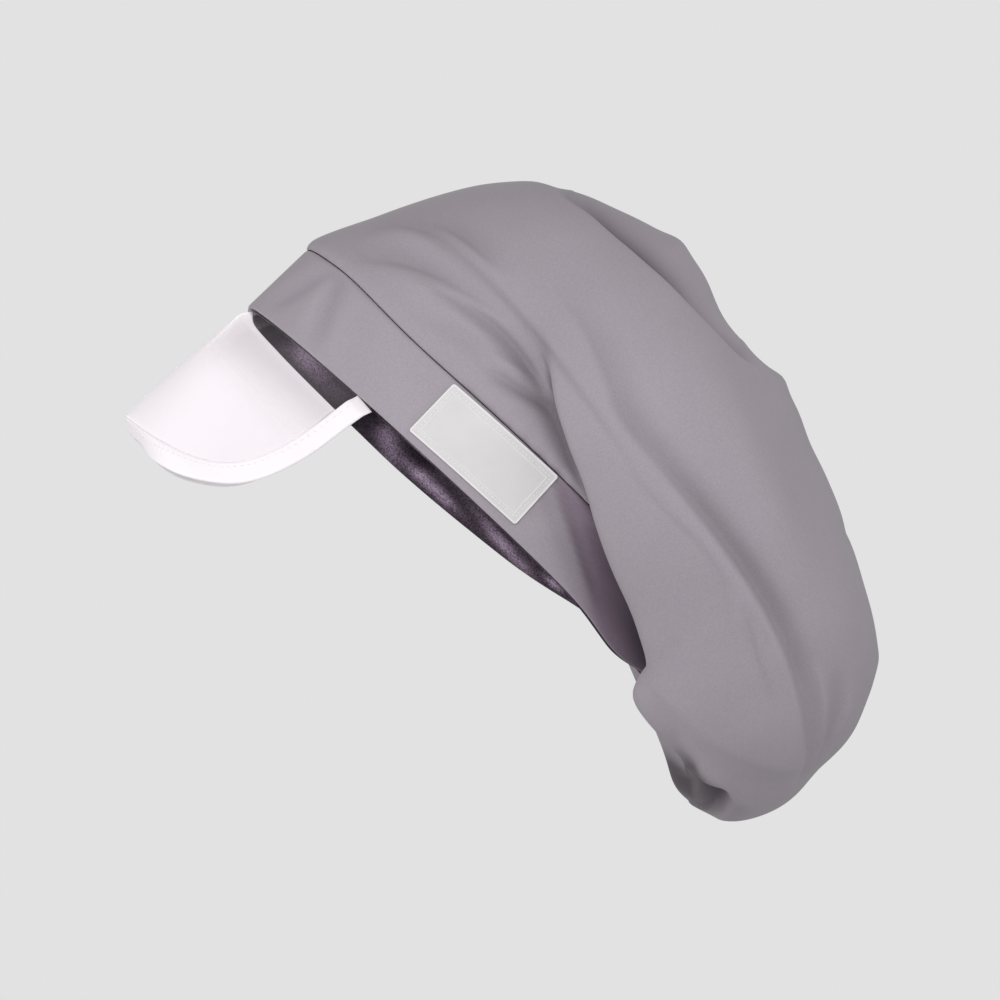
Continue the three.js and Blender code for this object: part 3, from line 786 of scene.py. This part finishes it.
# %% The crown and its lining as cloth
CROWN_WALL = 0.7
LINING_GAP, LINING_WALL = 2.4, 0.3
CROWN_ROWS, CROWN_COLUMNS = 222, 320


def cloth_map(angle, grid):
    """UV of a hoop grid in metres: the angle times the hoop's mean radius, and the way along its side."""
    around = np.linalg.norm(np.roll(grid, -1, 1) - grid, axis=-1).sum(1) / (2 * np.pi)
    along = length_run(grid[:, grid.shape[1] // 2])
    angle = np.append(angle, angle[0] + 2 * np.pi)
    u = angle[None, :] * around[:, None]
    return np.stack([u, np.broadcast_to(along[:, None], u.shape)], -1) / 1000


spread = np.linspace(-np.pi, np.pi, CROWN_COLUMNS, endpoint=False)
crown_angle = spread + 0.4 * np.cos(spread)
crown_h = np.arange(CROWN_ROWS)[:, None] / CROWN_ROWS * (len(HOOPS) - 1)
crown_outer, crown_painted_shade = crown_surface(crown_angle[None, :], crown_h)
crown_out = outward(crown_outer)
crown_uv = cloth_map(crown_angle, crown_outer)


def mark(piece, name, values):
    """Writes one number for each point of a mesh, under a name that its material reads."""
    piece.data.attributes.new(name, "FLOAT", "POINT").data.foreach_set("value", np.asarray(values, float))


def crown_skin(name, depth, wall, step_rows, step_columns):
    """A wall of cloth some depth inside the crown's face: an inner grid back to back with an outer one."""
    face = crown_outer[::step_rows, ::step_columns] - depth * crown_out[::step_rows, ::step_columns]
    inside_rows = slice(None, None, 3 if step_rows == 1 else 2 * step_rows)
    inner = (crown_outer - (depth + wall) * crown_out)[inside_rows, ::step_columns][::-1]
    tips = [inner[0].mean(0), face[-1].mean(0)]
    keep = list(range(0, CROWN_COLUMNS, step_columns)) + [CROWN_COLUMNS]
    uv = np.vstack([crown_uv[inside_rows][::-1][:, keep], crown_uv[::step_rows][:, keep]])
    piece = grid_piece(name, np.vstack([inner, face]), tips=tips, cloth=uv)
    # The mark crease carries the painted shade of the folds to the cloth's colour.
    dark = np.vstack([crown_painted_shade[inside_rows][::-1], crown_painted_shade[::step_rows]])[:, ::step_columns]
    mark(piece, "crease", np.append(dark, [0, 0]))
    return piece


crown = crown_skin("slouch_crown", 0, CROWN_WALL, 1, 1)
fit(crown, CROWN_CLOTH, "crown_cloth", "crown")
crown_lining = crown_skin("crown_lining", LINING_GAP, LINING_WALL, 2, 2)
fit(crown_lining, LINING_SATIN, "lining_satin")

# %% [markdown]
# ## The band
#
# A strip of cloth folded double at the rim, 30 mm high. It could be a flat ribbon with a thickness added,
# but its edge shows in the picture, so its section is drawn: a flat outer face, a round fold at the rim,
# the inner face, and a soft shoulder at the seam, where the crown rolls over it. The section is carried
# round the ellipse, and a few shallow creases lean across it.

# %% The band
BAND_COLUMNS, BAND_MEAN_RADIUS = 360, 93.0
CREASES = [
    # angle at mid height, lean in degrees for each millimetre up, height, width in degrees
    (38.5, -0.38, -0.75, 2.6), (33, -0.35, 0.5, 3.2), (25, 0.3, -0.7, 3.0), (16, 0.4, 0.35, 5.0),
    (45, -0.3, 0.3, 3.5), (62, -0.7, 0.16, 7.0),
    (106, 0.5, 0.30, 3.0), (111, -1.1, 0.9, 1.8), (116, -1.1, -0.8, 2.5), (-48, 0.8, -0.30, 5.0),
    (-95, 0.6, 0.25, 8.0), (-140, -0.7, -0.35, 6.0), (166, 0.3, 0.30, 6.0),
]


def band_creases(angle, w):
    """Sum of leaning bells round the band, in millimetres outward, fading toward the rim and the seam."""
    turned = np.degrees(angle)
    total = 0
    for middle, lean, height, width in CREASES:
        off = np.mod(turned - middle - lean * (w - 15) + 180, 360) - 180
        total = total + height * bell(off / width)
    return total * smooth_step(0, 12, w) * (1 - smooth_step(27, 30, w))


def under_bag(angle, w):
    """How far a place of the band lies under the bag's lip, 0 to 1. The lip leans: 133 degrees at the rim."""
    return 1 - smooth_step(-4, 19, 133 - 0.85 * w - np.degrees(angle))


def band_give(angle, w):
    """How far the band's cloth gives way inward where the bag weighs on it: 4.5 mm at mid height."""
    free = smooth_step(1, 14, w) * (1 - smooth_step(20, 29, w))
    return 4.5 * under_bag(angle, w) * free * (1 - smooth_step(150, 170, np.degrees(angle)))


def band_section():
    """Closed section of the band as (inset, w): rim fold of half the wall's width, seam shoulder of 0.7."""
    half = BAND_WALL / 2
    turn = np.linspace(0, np.pi, 9)
    rim = np.stack([half - half * np.cos(turn), half - half * np.sin(turn)], -1)
    inner = np.stack([np.full(12, BAND_WALL), np.linspace(1.6, 29.4, 12)], -1)
    top = np.array([[1.35, 29.9], [0.9, 30.0]])
    shoulder = np.array([[0.55, 29.92], [0.28, 29.7], [0.1, 29.35], [0.02, 28.8]])
    outer = np.stack([np.zeros(14), np.linspace(28, 1.4, 14)], -1)
    return np.vstack([rim, inner, top, shoulder, outer])


def hoop_uv(angle, radius, run):
    """UV of a section carried round the band, in metres: angle times a mean radius, and the section's run."""
    return np.stack(np.broadcast_arrays(np.append(angle, np.pi)[None, :] * radius, run[:, None]), -1) / 1000


band_angle = np.linspace(-np.pi, np.pi, BAND_COLUMNS, endpoint=False)
inset, w = band_section()[:, :1], band_section()[:, 1:]
lift = band_creases(band_angle, w) - band_give(band_angle, w)
band_grid = band_place(band_angle[None, :], worn_height(band_angle, w), inset - lift)
band_uv = hoop_uv(band_angle, BAND_MEAN_RADIUS, length_run(band_section(), closed=True))
band = grid_piece("head_band", band_grid[::-1], ring=True, cloth=band_uv[::-1])
# Painted shade where the band lies under the bag's lip, and painted light and shade along its creases, for
# the cloth's colour.
band_painted_shade = 0.46 * under_bag(band_angle, w) - 0.12 * band_creases(band_angle, w)
mark(band, "crease", band_painted_shade[::-1].ravel())
fit(band, BAND_CLOTH, "band_cloth", "band")

# %% [markdown]
# ## The satin facing inside the band
#
# The lining comes down inside the band to the rim. It is a little longer than the band, so it lies in
# slanting folds, and these are what catches the light in the picture. The wall is drawn as a thin section
# and pushed inward by the folds, never outward, where the band is. The mesh carries where the satin gleams,
# which its material shows as gloss and as a painted highlight, and where its front is painted darker.

# %% The satin facing inside the band
VISOR_HALF_ANGLE = 63
FACING_COLUMNS, FACING_MEAN_RADIUS, FACING_STEP = 480, 91.0, 1.1
# Painted highlights on the satin, where its folds catch the light.
PAINTED_GLEAMS = [
    # degrees from the forehead, w, rise for each degree, half length in degrees, half width, strength
    (43, 5.5, 0, 10, 4.0, 0.8), (73.5, 5.0, -0.6, 4, 4.0, 1.0), (87, 3.6, -0.1, 9, 2.1, 0.9),
    (107, 4.7, -0.35, 8, 2.2, 1.0), (124, 3.0, -0.3, 3, 1.4, 0.7), (150, 6, -0.3, 9, 3, 0.5),
]


def facing_inset(angle):
    """Inset of the facing's outer side: 1.9 mm behind the cloth, 3.0 mm where the visor is sewn in."""
    room = 1 - smooth_step(VISOR_HALF_ANGLE + 2, VISOR_HALF_ANGLE + 20, np.degrees(np.abs(angle)))
    return BAND_WALL + 0.3 + 1.1 * room


def facing_folds(angle, w):
    """Slanting folds, 0 to about 2.5 mm: a wandering sine round the head that leans with height."""
    lean = angle * 19 + w * 0.16 + 1.6 * np.sin(2 * angle + 1) + 1.1 * np.sin(5 * angle)
    broad = 0.5 + 0.5 * np.sin(lean)
    fine = 0.5 + 0.5 * np.sin(angle * 43 + w * 0.22 + 2 * np.sin(4 * angle + 2))
    held = np.sin(np.pi * np.clip((w + 1) / (LINING_HEIGHT + 1), 0, 1)) ** 0.5
    return (2.0 * broad ** 1.5 + 0.45 * fine) * held


def painted_gleams(turned, w):
    """Painted highlights, 0 to 1: streaks where a fold of the satin meets the light, as leaning bells, alike
    on both sides.
    """
    total = 0
    for middle, height, lean, long, wide, strength in PAINTED_GLEAMS:
        off = w - height - lean * (turned - middle)
        total = total + strength * bell((turned - middle) / long) * bell(off / wide)
    return np.minimum(total, 1)


def facing_section():
    """Closed section as (inset, w): a wall of 0.5 mm from the rim to 28 mm up, its lower edge rolled."""
    turn = np.linspace(0, np.pi, 7)
    roll = np.stack([0.35 - 0.35 * np.cos(turn), 0.1 - 0.5 * np.sin(turn)], -1)
    inner = np.stack([np.full(22, 0.7), np.linspace(0.8, 27.6, 22)], -1)
    top = np.array([[0.55, LINING_HEIGHT], [0.15, LINING_HEIGHT]])
    outer = np.stack([np.zeros(14), np.linspace(27.5, 0.8, 14)], -1)
    return np.vstack([roll, inner, top, outer])


facing_angle = np.linspace(-np.pi, np.pi, FACING_COLUMNS, endpoint=False)
inset, w = facing_section()[:, :1], facing_section()[:, 1:]
push = facing_folds(facing_angle[None, :], w) * np.where(inset > 0.3, 1, 0.75)
facing_depth = facing_inset(facing_angle) + inset + push + band_give(facing_angle, w)
facing_grid = band_place(facing_angle, worn_height(facing_angle, w), facing_depth)
from_front = np.degrees(np.abs(facing_angle))[None, :]
# Painted highlight along the crests of the folds and along the gleams, and painted shade within about 60
# degrees of the forehead.
facing_gloss_and_gleam = 0.06 * push / 2.45 + painted_gleams(from_front, w) - 0.05 * (1 - smooth_step(58, 68, from_front))
facing_uv = hoop_uv(facing_angle, FACING_MEAN_RADIUS, np.arange(len(w) + 1) * FACING_STEP)
facing = grid_piece("satin_facing", facing_grid[::-1], ring=True, cloth=facing_uv[::-1])
mark(facing, "gloss_and_painted_gleam", facing_gloss_and_gleam[::-1].ravel())
fit(facing, LINING_SATIN, "lining_satin", "band_lining")

# %% [markdown]
# ## The visor
#
# A clear film, cut as a rounded rectangle and sewn between band and lining, flares away from the forehead.
# Its shape is a function of the angle round the head and the drop below the rim. The free edge is a
# superellipse, which has straight sides and round corners, and its front is bent down just before the
# tape. The film is a thin closed shell that waves a little, because no film hangs quite true. It carries
# how clouded it is for the material: clear in a strip under the rim on the side with the label, so that the
# lining behind it shows, and clouded right up to the rim on the other.

# %% The visor
VISOR_DROP, VISOR_SEWN_IN = 68.0, 8.0
VISOR_NARROWING, VISOR_CORNERS = 5.0, 4.2
VISOR_FLARE = math.tan(math.radians(5.5))
CURL_STARTS, CURL_LENGTH, CURL = 59.0, 3.0, math.radians(62)
VISOR_SEAT, FILM_HALF = 2.3, 0.2
VISOR_STATIONS, VISOR_ROWS = 241, 66


def visor_edge(q):
    """Angle and drop of the free edge, q from 0 to pi: a superellipse that narrows as it drops."""
    drop = VISOR_DROP * np.abs(np.sin(q)) ** (2 / VISOR_CORNERS)
    reach = VISOR_HALF_ANGLE - VISOR_NARROWING * drop / VISOR_DROP
    across = -np.sign(np.cos(q)) * np.abs(np.cos(q)) ** (2 / VISOR_CORNERS)
    return np.radians(reach * across), drop


def visor_wave(angle, drop):
    """Slow waves of the film, in millimetres outward, growing below the rim, with one faint dent."""
    free = smooth_step(2, 40, drop)
    wave = 0.7 * np.sin(5.2 * angle + 0.05 * drop + 0.4) + 0.35 * np.sin(11 * angle - 0.08 * drop)
    return 0.8 * wave * free - 0.5 * bell((np.degrees(angle) - 9) / 3) * bell((drop - 12) / 8)


def visor_place(angle, drop, off):
    """Point of the film: the band's inner face above the rim, leaning out by the flare below it.

    Past the curl's start it is bent inward along an arc 3 mm long, by 62 degrees within 15 degrees of the
    middle and by less toward 55 degrees, and then runs straight on. The chord of an arc bent by an angle t
    is turned by t / 2. Just below the rim the film springs out by 2.2 mm, clear of the band's edge.
    """
    below, above = np.maximum(drop, 0), np.maximum(-drop, 0)
    out_x, out_u = band_out(angle, above)
    bend = CURL * (1 - smooth_step(15, 55, np.degrees(np.abs(angle))))
    past = drop - CURL_STARTS
    bent, beyond = np.clip(past, 0, CURL_LENGTH), np.maximum(past - CURL_LENGTH, 0)
    turned = bend * bent / CURL_LENGTH
    inward = bent * np.sin(turned / 2) + beyond * np.sin(bend)
    raised = bent * (1 - np.cos(turned / 2)) + beyond * (1 - np.cos(bend))
    swell = 2.2 * smooth_step(0, 5, drop)
    out = below * VISOR_FLARE + swell + visor_wave(angle, drop) - inward + off * np.cos(turned)
    up = raised - below - off * np.sin(turned)
    return band_place(angle, above, VISOR_SEAT) + in_hat(out_x * out, out_u * out, up)


def even_stations(count):
    """Values of q that lie evenly along the free edge: its length is run up finely, then read backward."""
    q = np.linspace(1e-4, np.pi - 1e-4, 6001)
    run = length_run(visor_place(*visor_edge(q), 0))
    return np.interp(np.linspace(0, run[-1], count), run, q), run[-1]


stations, edge_length = even_stations(VISOR_STATIONS)
edge_angle, edge_drop = visor_edge(stations)
part = np.linspace(0, 1, VISOR_ROWS)[:, None]
film_drop = -VISOR_SEWN_IN + part * (edge_drop + VISOR_SEWN_IN)
film_angle = np.broadcast_to(edge_angle, film_drop.shape)
film_front, film_back = (visor_place(film_angle, film_drop, side) for side in (FILM_HALF, -FILM_HALF))
film_tips = [(film_front[:, end] + film_back[:, end]).mean(0) / 2 for end in (0, -1)]
film = grid_piece("visor_film", np.vstack([film_front, film_back[::-1]]).swapaxes(0, 1), tips=film_tips)
turned = np.degrees(film_angle)
clear_strip = 11 * smooth_step(0, 14, turned)
beside = smooth_step(22, 55, turned) * smooth_step(8, 30, film_drop)
clouded = smooth_step(-0.3, 1.5 + 2 * clear_strip, film_drop - clear_strip) * (1 - 0.45 * beside)
cover = np.vstack([clouded, clouded[::-1]]).T.ravel()
mark(film, "clouded", np.append(cover, [0, 0]))
fit(film, VISOR_FILM, "visor_clear", "visor")
print(f"free edge {edge_length:.0f} mm long")

# %% [markdown]
# ## The tape on the visor's edge
#
# A white tape is folded over the film's edge and stitched through. In Blender a curve with a bevel would
# do for a round cord, but a folded tape has a section like a U, so the section is carried along the edge:
# one direction runs in over the film, the other stands off it. Stitching pulls the tape in, so it puckers
# a little between stitches.

# %% The tape on the visor's edge
TAPE_WIDTH, TAPE_WALL, TAPE_SLOT = 8.0, 0.55, 0.35
TAPE_STATIONS = 421
STITCH_PITCH, STITCH_DEPTH = 2.9, 4.9


def beside_edge(q, depth, off):
    """Point beside the free edge: depth runs inward over the film, square to the edge, off stands off it."""
    angle, drop = visor_edge(q)
    little = 1e-4
    angle_on, drop_on = visor_edge(q + little)
    angle_back, drop_back = visor_edge(q - little)
    moved = visor_place(angle + little, drop, 0) - visor_place(angle, drop, 0)
    turn = np.linalg.norm(moved, axis=-1) / little
    run_a, run_d = (angle_on - angle_back) * turn, drop_on - drop_back
    size = np.hypot(run_a, run_d)
    return visor_place(angle + run_d / size * depth / turn, drop - run_a / size * depth, off)


def tape_section():
    """Closed U section as (depth, off): an outer skin round the film's edge and an inner one inside it."""
    outer_off, deep, turn = TAPE_SLOT + TAPE_WALL, TAPE_WIDTH - 1.3, np.linspace(-np.pi / 2, np.pi / 2, 9)
    skin = [(deep - i * 0.9, -outer_off) for i in range(8)]
    nose = [(-0.35 - 0.95 * math.cos(t), outer_off * math.sin(t)) for t in turn]
    back_skin = [(deep - i * 0.9, outer_off) for i in reversed(range(8))]
    lip = [(deep + 0.25, outer_off - 0.28)]
    inside = [(d, TAPE_SLOT) for d in (deep, 3.0, 0)] + [(d, -TAPE_SLOT) for d in (0, 3.0, deep)]
    return np.array(skin + nose + back_skin + lip + inside + [(deep + 0.25, 0.28 - outer_off)])


tape_q, _ = even_stations(TAPE_STATIONS)
angle_at, drop_at = visor_edge(tape_q)
tape_q = tape_q[drop_at > 0.5]
section = tape_section()
q = tape_q[:, None]
travelled = np.arange(len(tape_q))[:, None] * edge_length / (TAPE_STATIONS - 1)
stitched = bell((section[:, 0] - STITCH_DEPTH) / 1.6)
pucker = 1 + 0.10 * np.sin(2 * np.pi * travelled / STITCH_PITCH) * stitched
wander = 0.45 * np.sin(travelled / 9.0) + 0.3 * np.sin(travelled / 4.1 + 1)
thin = 0.62 + 0.38 * smooth_step(0, 9, visor_edge(tape_q)[1])[:, None]
depth = section[:, 0] - 0.35 * wander * (section[:, 0] < 1)
tape_grid = beside_edge(q, depth, section[:, 1] * pucker * thin)
tape_uv = np.stack(np.broadcast_arrays(length_run(section, closed=True)[None, :], travelled), -1) / 1000
tape_ends = [tape_grid[end].mean(0) for end in (-1, 0)]
tape = grid_piece("visor_tape", tape_grid[::-1], cloth=tape_uv[::-1], tips=tape_ends)
fit(tape, BINDING_TAPE, "binding_tape", "visor_binding")

# %% [markdown]
# ## Stitches
#
# Every stitch is a short run of thread that comes out of the cloth, lies on it and goes back in. All the
# stitches of a seam are one mesh: a small capsule, bent so that its ends sink, is copied to each place by
# its middle, its direction along the seam and its direction out of the cloth. A hundred copies stay light
# because each has only two dozen faces.

# %% Stitches


def stitch_row(name, middles, alongs, outs, length, radius):
    """Capsules at middles, shape (n, 3): five rings of six points, radius times 0.35, 0.9, 1, 0.9, 0.35.

    A ring at s along the stitch, from -1/2 to 1/2, sinks by 4 s^2 times the radius.
    """
    along, out = (v / np.linalg.norm(v, axis=-1, keepdims=True) for v in (alongs, outs))
    along, out, side = (v[:, None, None] for v in (along, out, np.cross(along, out)))
    s = np.array([-0.5, -0.34, 0, 0.34, 0.5])[:, None]
    thick = np.array([0.35, 0.9, 1, 0.9, 0.35])[:, None] * radius
    turn = np.arange(6) * np.pi / 3
    rise = thick * np.cos(turn) - 4 * s ** 2 * radius
    points = (middles[:, None, None] + along * (s * length + 0 * turn)[..., None]
              + out * rise[..., None] + side * (thick * np.sin(turn))[..., None])
    r, c = np.meshgrid(np.arange(4) * 6, np.arange(6), indexing="ij")
    after = (c + 1) % 6
    quads = np.stack([r + c, r + after, r + 6 + after, r + 6 + c], -1).reshape(-1, 4)
    starts = np.arange(len(middles))[:, None, None] * 30
    ends = np.array([[5, 4, 3, 2, 1, 0], [24, 25, 26, 27, 28, 29]])
    faces = (starts + quads).reshape(-1, 4).tolist() + (starts + ends).reshape(-1, 6).tolist()
    return add_mesh(name, points.reshape(-1, 3), faces)


TAPE_STITCH, LABEL_STITCH = (2.1, 0.19), (0.92, 0.14)
stitch_run = (np.arange(int(edge_length // STITCH_PITCH) - 2) + 1.5) * STITCH_PITCH
stitch_q = np.interp(stitch_run, np.linspace(0, edge_length, len(stations)), stations)
surface_off = TAPE_SLOT + TAPE_WALL
for name, side in (("tape_stitches_outside", 1), ("tape_stitches_inside", -1)):
    on = beside_edge(stitch_q, STITCH_DEPTH, side * (surface_off + 0.04))
    out = on - beside_edge(stitch_q, STITCH_DEPTH, 0)
    ahead = beside_edge(stitch_q + 1e-3, STITCH_DEPTH, side * surface_off) - on
    fit(stitch_row(name, on, ahead, out, *TAPE_STITCH), TAPE_THREAD, "binding_tape")

# %% [markdown]
# ## The label
#
# A soft rubbery patch, 51 by 23.5 mm, sewn flat on the band, with a raised rim, a channel for the stitches,
# a fine inner line and a plain field. Its outline is a rounded rectangle. The face is a set of such
# outlines one inside the other, each with its own height, and all of them are laid on the band's curve.
# The last one has shrunk to the middle line, where the mesh is joined. The field is left bare.

# %% The label
LABEL_LENGTH, LABEL_HEIGHT, LABEL_CORNER = 51.0, 23.5, 1.1
LABEL_U, LABEL_W, LABEL_LEAN = -6.9, 15.0, math.tan(math.radians(1.2))
LABEL_PROFILE = [
    # inset from the outline, height above the band
    (11.75, 0.0), (6.0, 0.0), (0.6, 0.0), (0.2, 0.05), (0.0, 0.25), (0.0, 1.15), (0.08, 1.38), (0.22, 1.5),
    (0.4, 1.53), (0.6, 1.49), (0.8, 1.42), (1.2, 1.38), (2.1, 1.37), (2.65, 1.38), (2.85, 1.41), (3.0, 1.46),
    (3.1, 1.48), (3.2, 1.45), (3.35, 1.39), (3.6, 1.37), (4.5, 1.37), (6.0, 1.38), (8.0, 1.39), (10.0, 1.40),
    (11.75, 1.40),
]


def rounded_outline(inset):
    """Rounded rectangle, inset from the label's outline: along and up, a row of points for each inset.

    Long and short sides are straight, and each corner is a quarter circle of the outline's own radius
    less the inset, kept above a sixth of a millimetre.
    """
    inset = np.asarray(inset, float)[:, None]
    half_a, half_b = LABEL_LENGTH / 2 - inset, LABEL_HEIGHT / 2 - inset
    radius = np.clip(LABEL_CORNER - inset, 0.15, None)
    radius = np.minimum(radius, np.maximum(half_b, 0))
    turn = np.linspace(0, np.pi / 2, 9)
    corner_a, corner_b = half_a - radius, half_b - radius
    sides = []
    for quarter, (sign_a, sign_b) in enumerate(((1, 1), (-1, 1), (-1, -1), (1, -1))):
        at = turn if quarter % 2 == 0 else turn[::-1]
        sides.append((sign_a * (corner_a + radius * np.cos(at)), sign_b * (corner_b + radius * np.sin(at))))
    rows_a, rows_b = [], []
    for quarter in range(4):
        a, b = sides[quarter]
        next_a, next_b = sides[(quarter + 1) % 4]
        straight = np.linspace(0, 1, 62 if quarter % 2 == 0 else 30)[1:-1]
        rows_a += [a, a[:, -1:] + (next_a[:, :1] - a[:, -1:]) * straight]
        rows_b += [b, b[:, -1:] + (next_b[:, :1] - b[:, -1:]) * straight]
    return np.hstack(rows_a), np.hstack(rows_b)


def on_label(along, up, height):
    """Point over the band at the label's own place: along it, up it, and height above its outer face."""
    middle = math.acos(-LABEL_U / RIM_HALF_LENGTH)
    return band_place(middle + along / RIM_HALF_LENGTH, LABEL_W + up + along * LABEL_LEAN, -(0.1 + height))


profile = np.array(LABEL_PROFILE)
along, up = rounded_outline(profile[:, 0])
label = grid_piece("side_label", on_label(along, up, profile[:, 1:]))
# Painted highlight on the label's raised rim, read by its material.
mark(label, "raised", np.repeat(smooth_step(1.41, 1.5, profile[:, 1]), along.shape[1]))
merge_doubles(label)
fit(label, LABEL_RUBBER, "label", "label_patch")

# %% [markdown]
# ### The label's stitches
#
# Small stitches run round the channel, 2.1 mm in from the outline. They are the capsules from above, set
# out evenly along the outline by running up its length.

# %% The label's stitches
LABEL_PITCH, LABEL_STITCHED_IN = 1.6, 2.1
seam = np.stack([row[0] for row in rounded_outline([LABEL_STITCHED_IN])], -1)
seam_run, seam = length_run(seam, closed=True), np.vstack([seam, seam[:1]])
count = int(round(seam_run[-1] / LABEL_PITCH))
where = (np.arange(count) + 0.5) * seam_run[-1] / count
at, ahead = (
    [np.interp(places, seam_run, seam[:, axis]) for axis in (0, 1)] for places in (where, where + 0.1))
middles = on_label(*at, 1.42)
out, ahead = middles - on_label(*at, 0.4), on_label(*ahead, 1.42) - middles
label_row = stitch_row("label_stitches", middles, ahead, out, *LABEL_STITCH)
fit(label_row, LABEL_THREAD, "label")
print(count, "stitches round the label")

# %% [markdown]
# ## Cloth sizes
#
# The crown is cut fuller than the band and gathered to it.

# %% [markdown]
# ## The floor
#
# The hat is shown in the air, as on an unseen head. A pale round floor lies well below it, outside the
# picture's own view, so that the other views have a ground.

# %% The floor
FLOOR_RADIUS, FLOOR_POINTS, FLOOR_Y, FLOOR_Z = 620, 96, 40, -300.0
turn = np.linspace(0, 2 * np.pi, FLOOR_POINTS, endpoint=False)
edge = (FLOOR_RADIUS * np.cos(turn), FLOOR_Y + FLOOR_RADIUS * np.sin(turn), np.full(FLOOR_POINTS, FLOOR_Z))
floor = add_mesh("floor", np.stack(edge, -1), [list(range(FLOOR_POINTS))])
slow = {"scale": 3, "low": 0.98, "high": 1.02}
floor.data.materials.append(shaded_finish("pale paper", (0.78, 0.78, 0.78), [(CLOUDS, slow)], roughness=0.9))
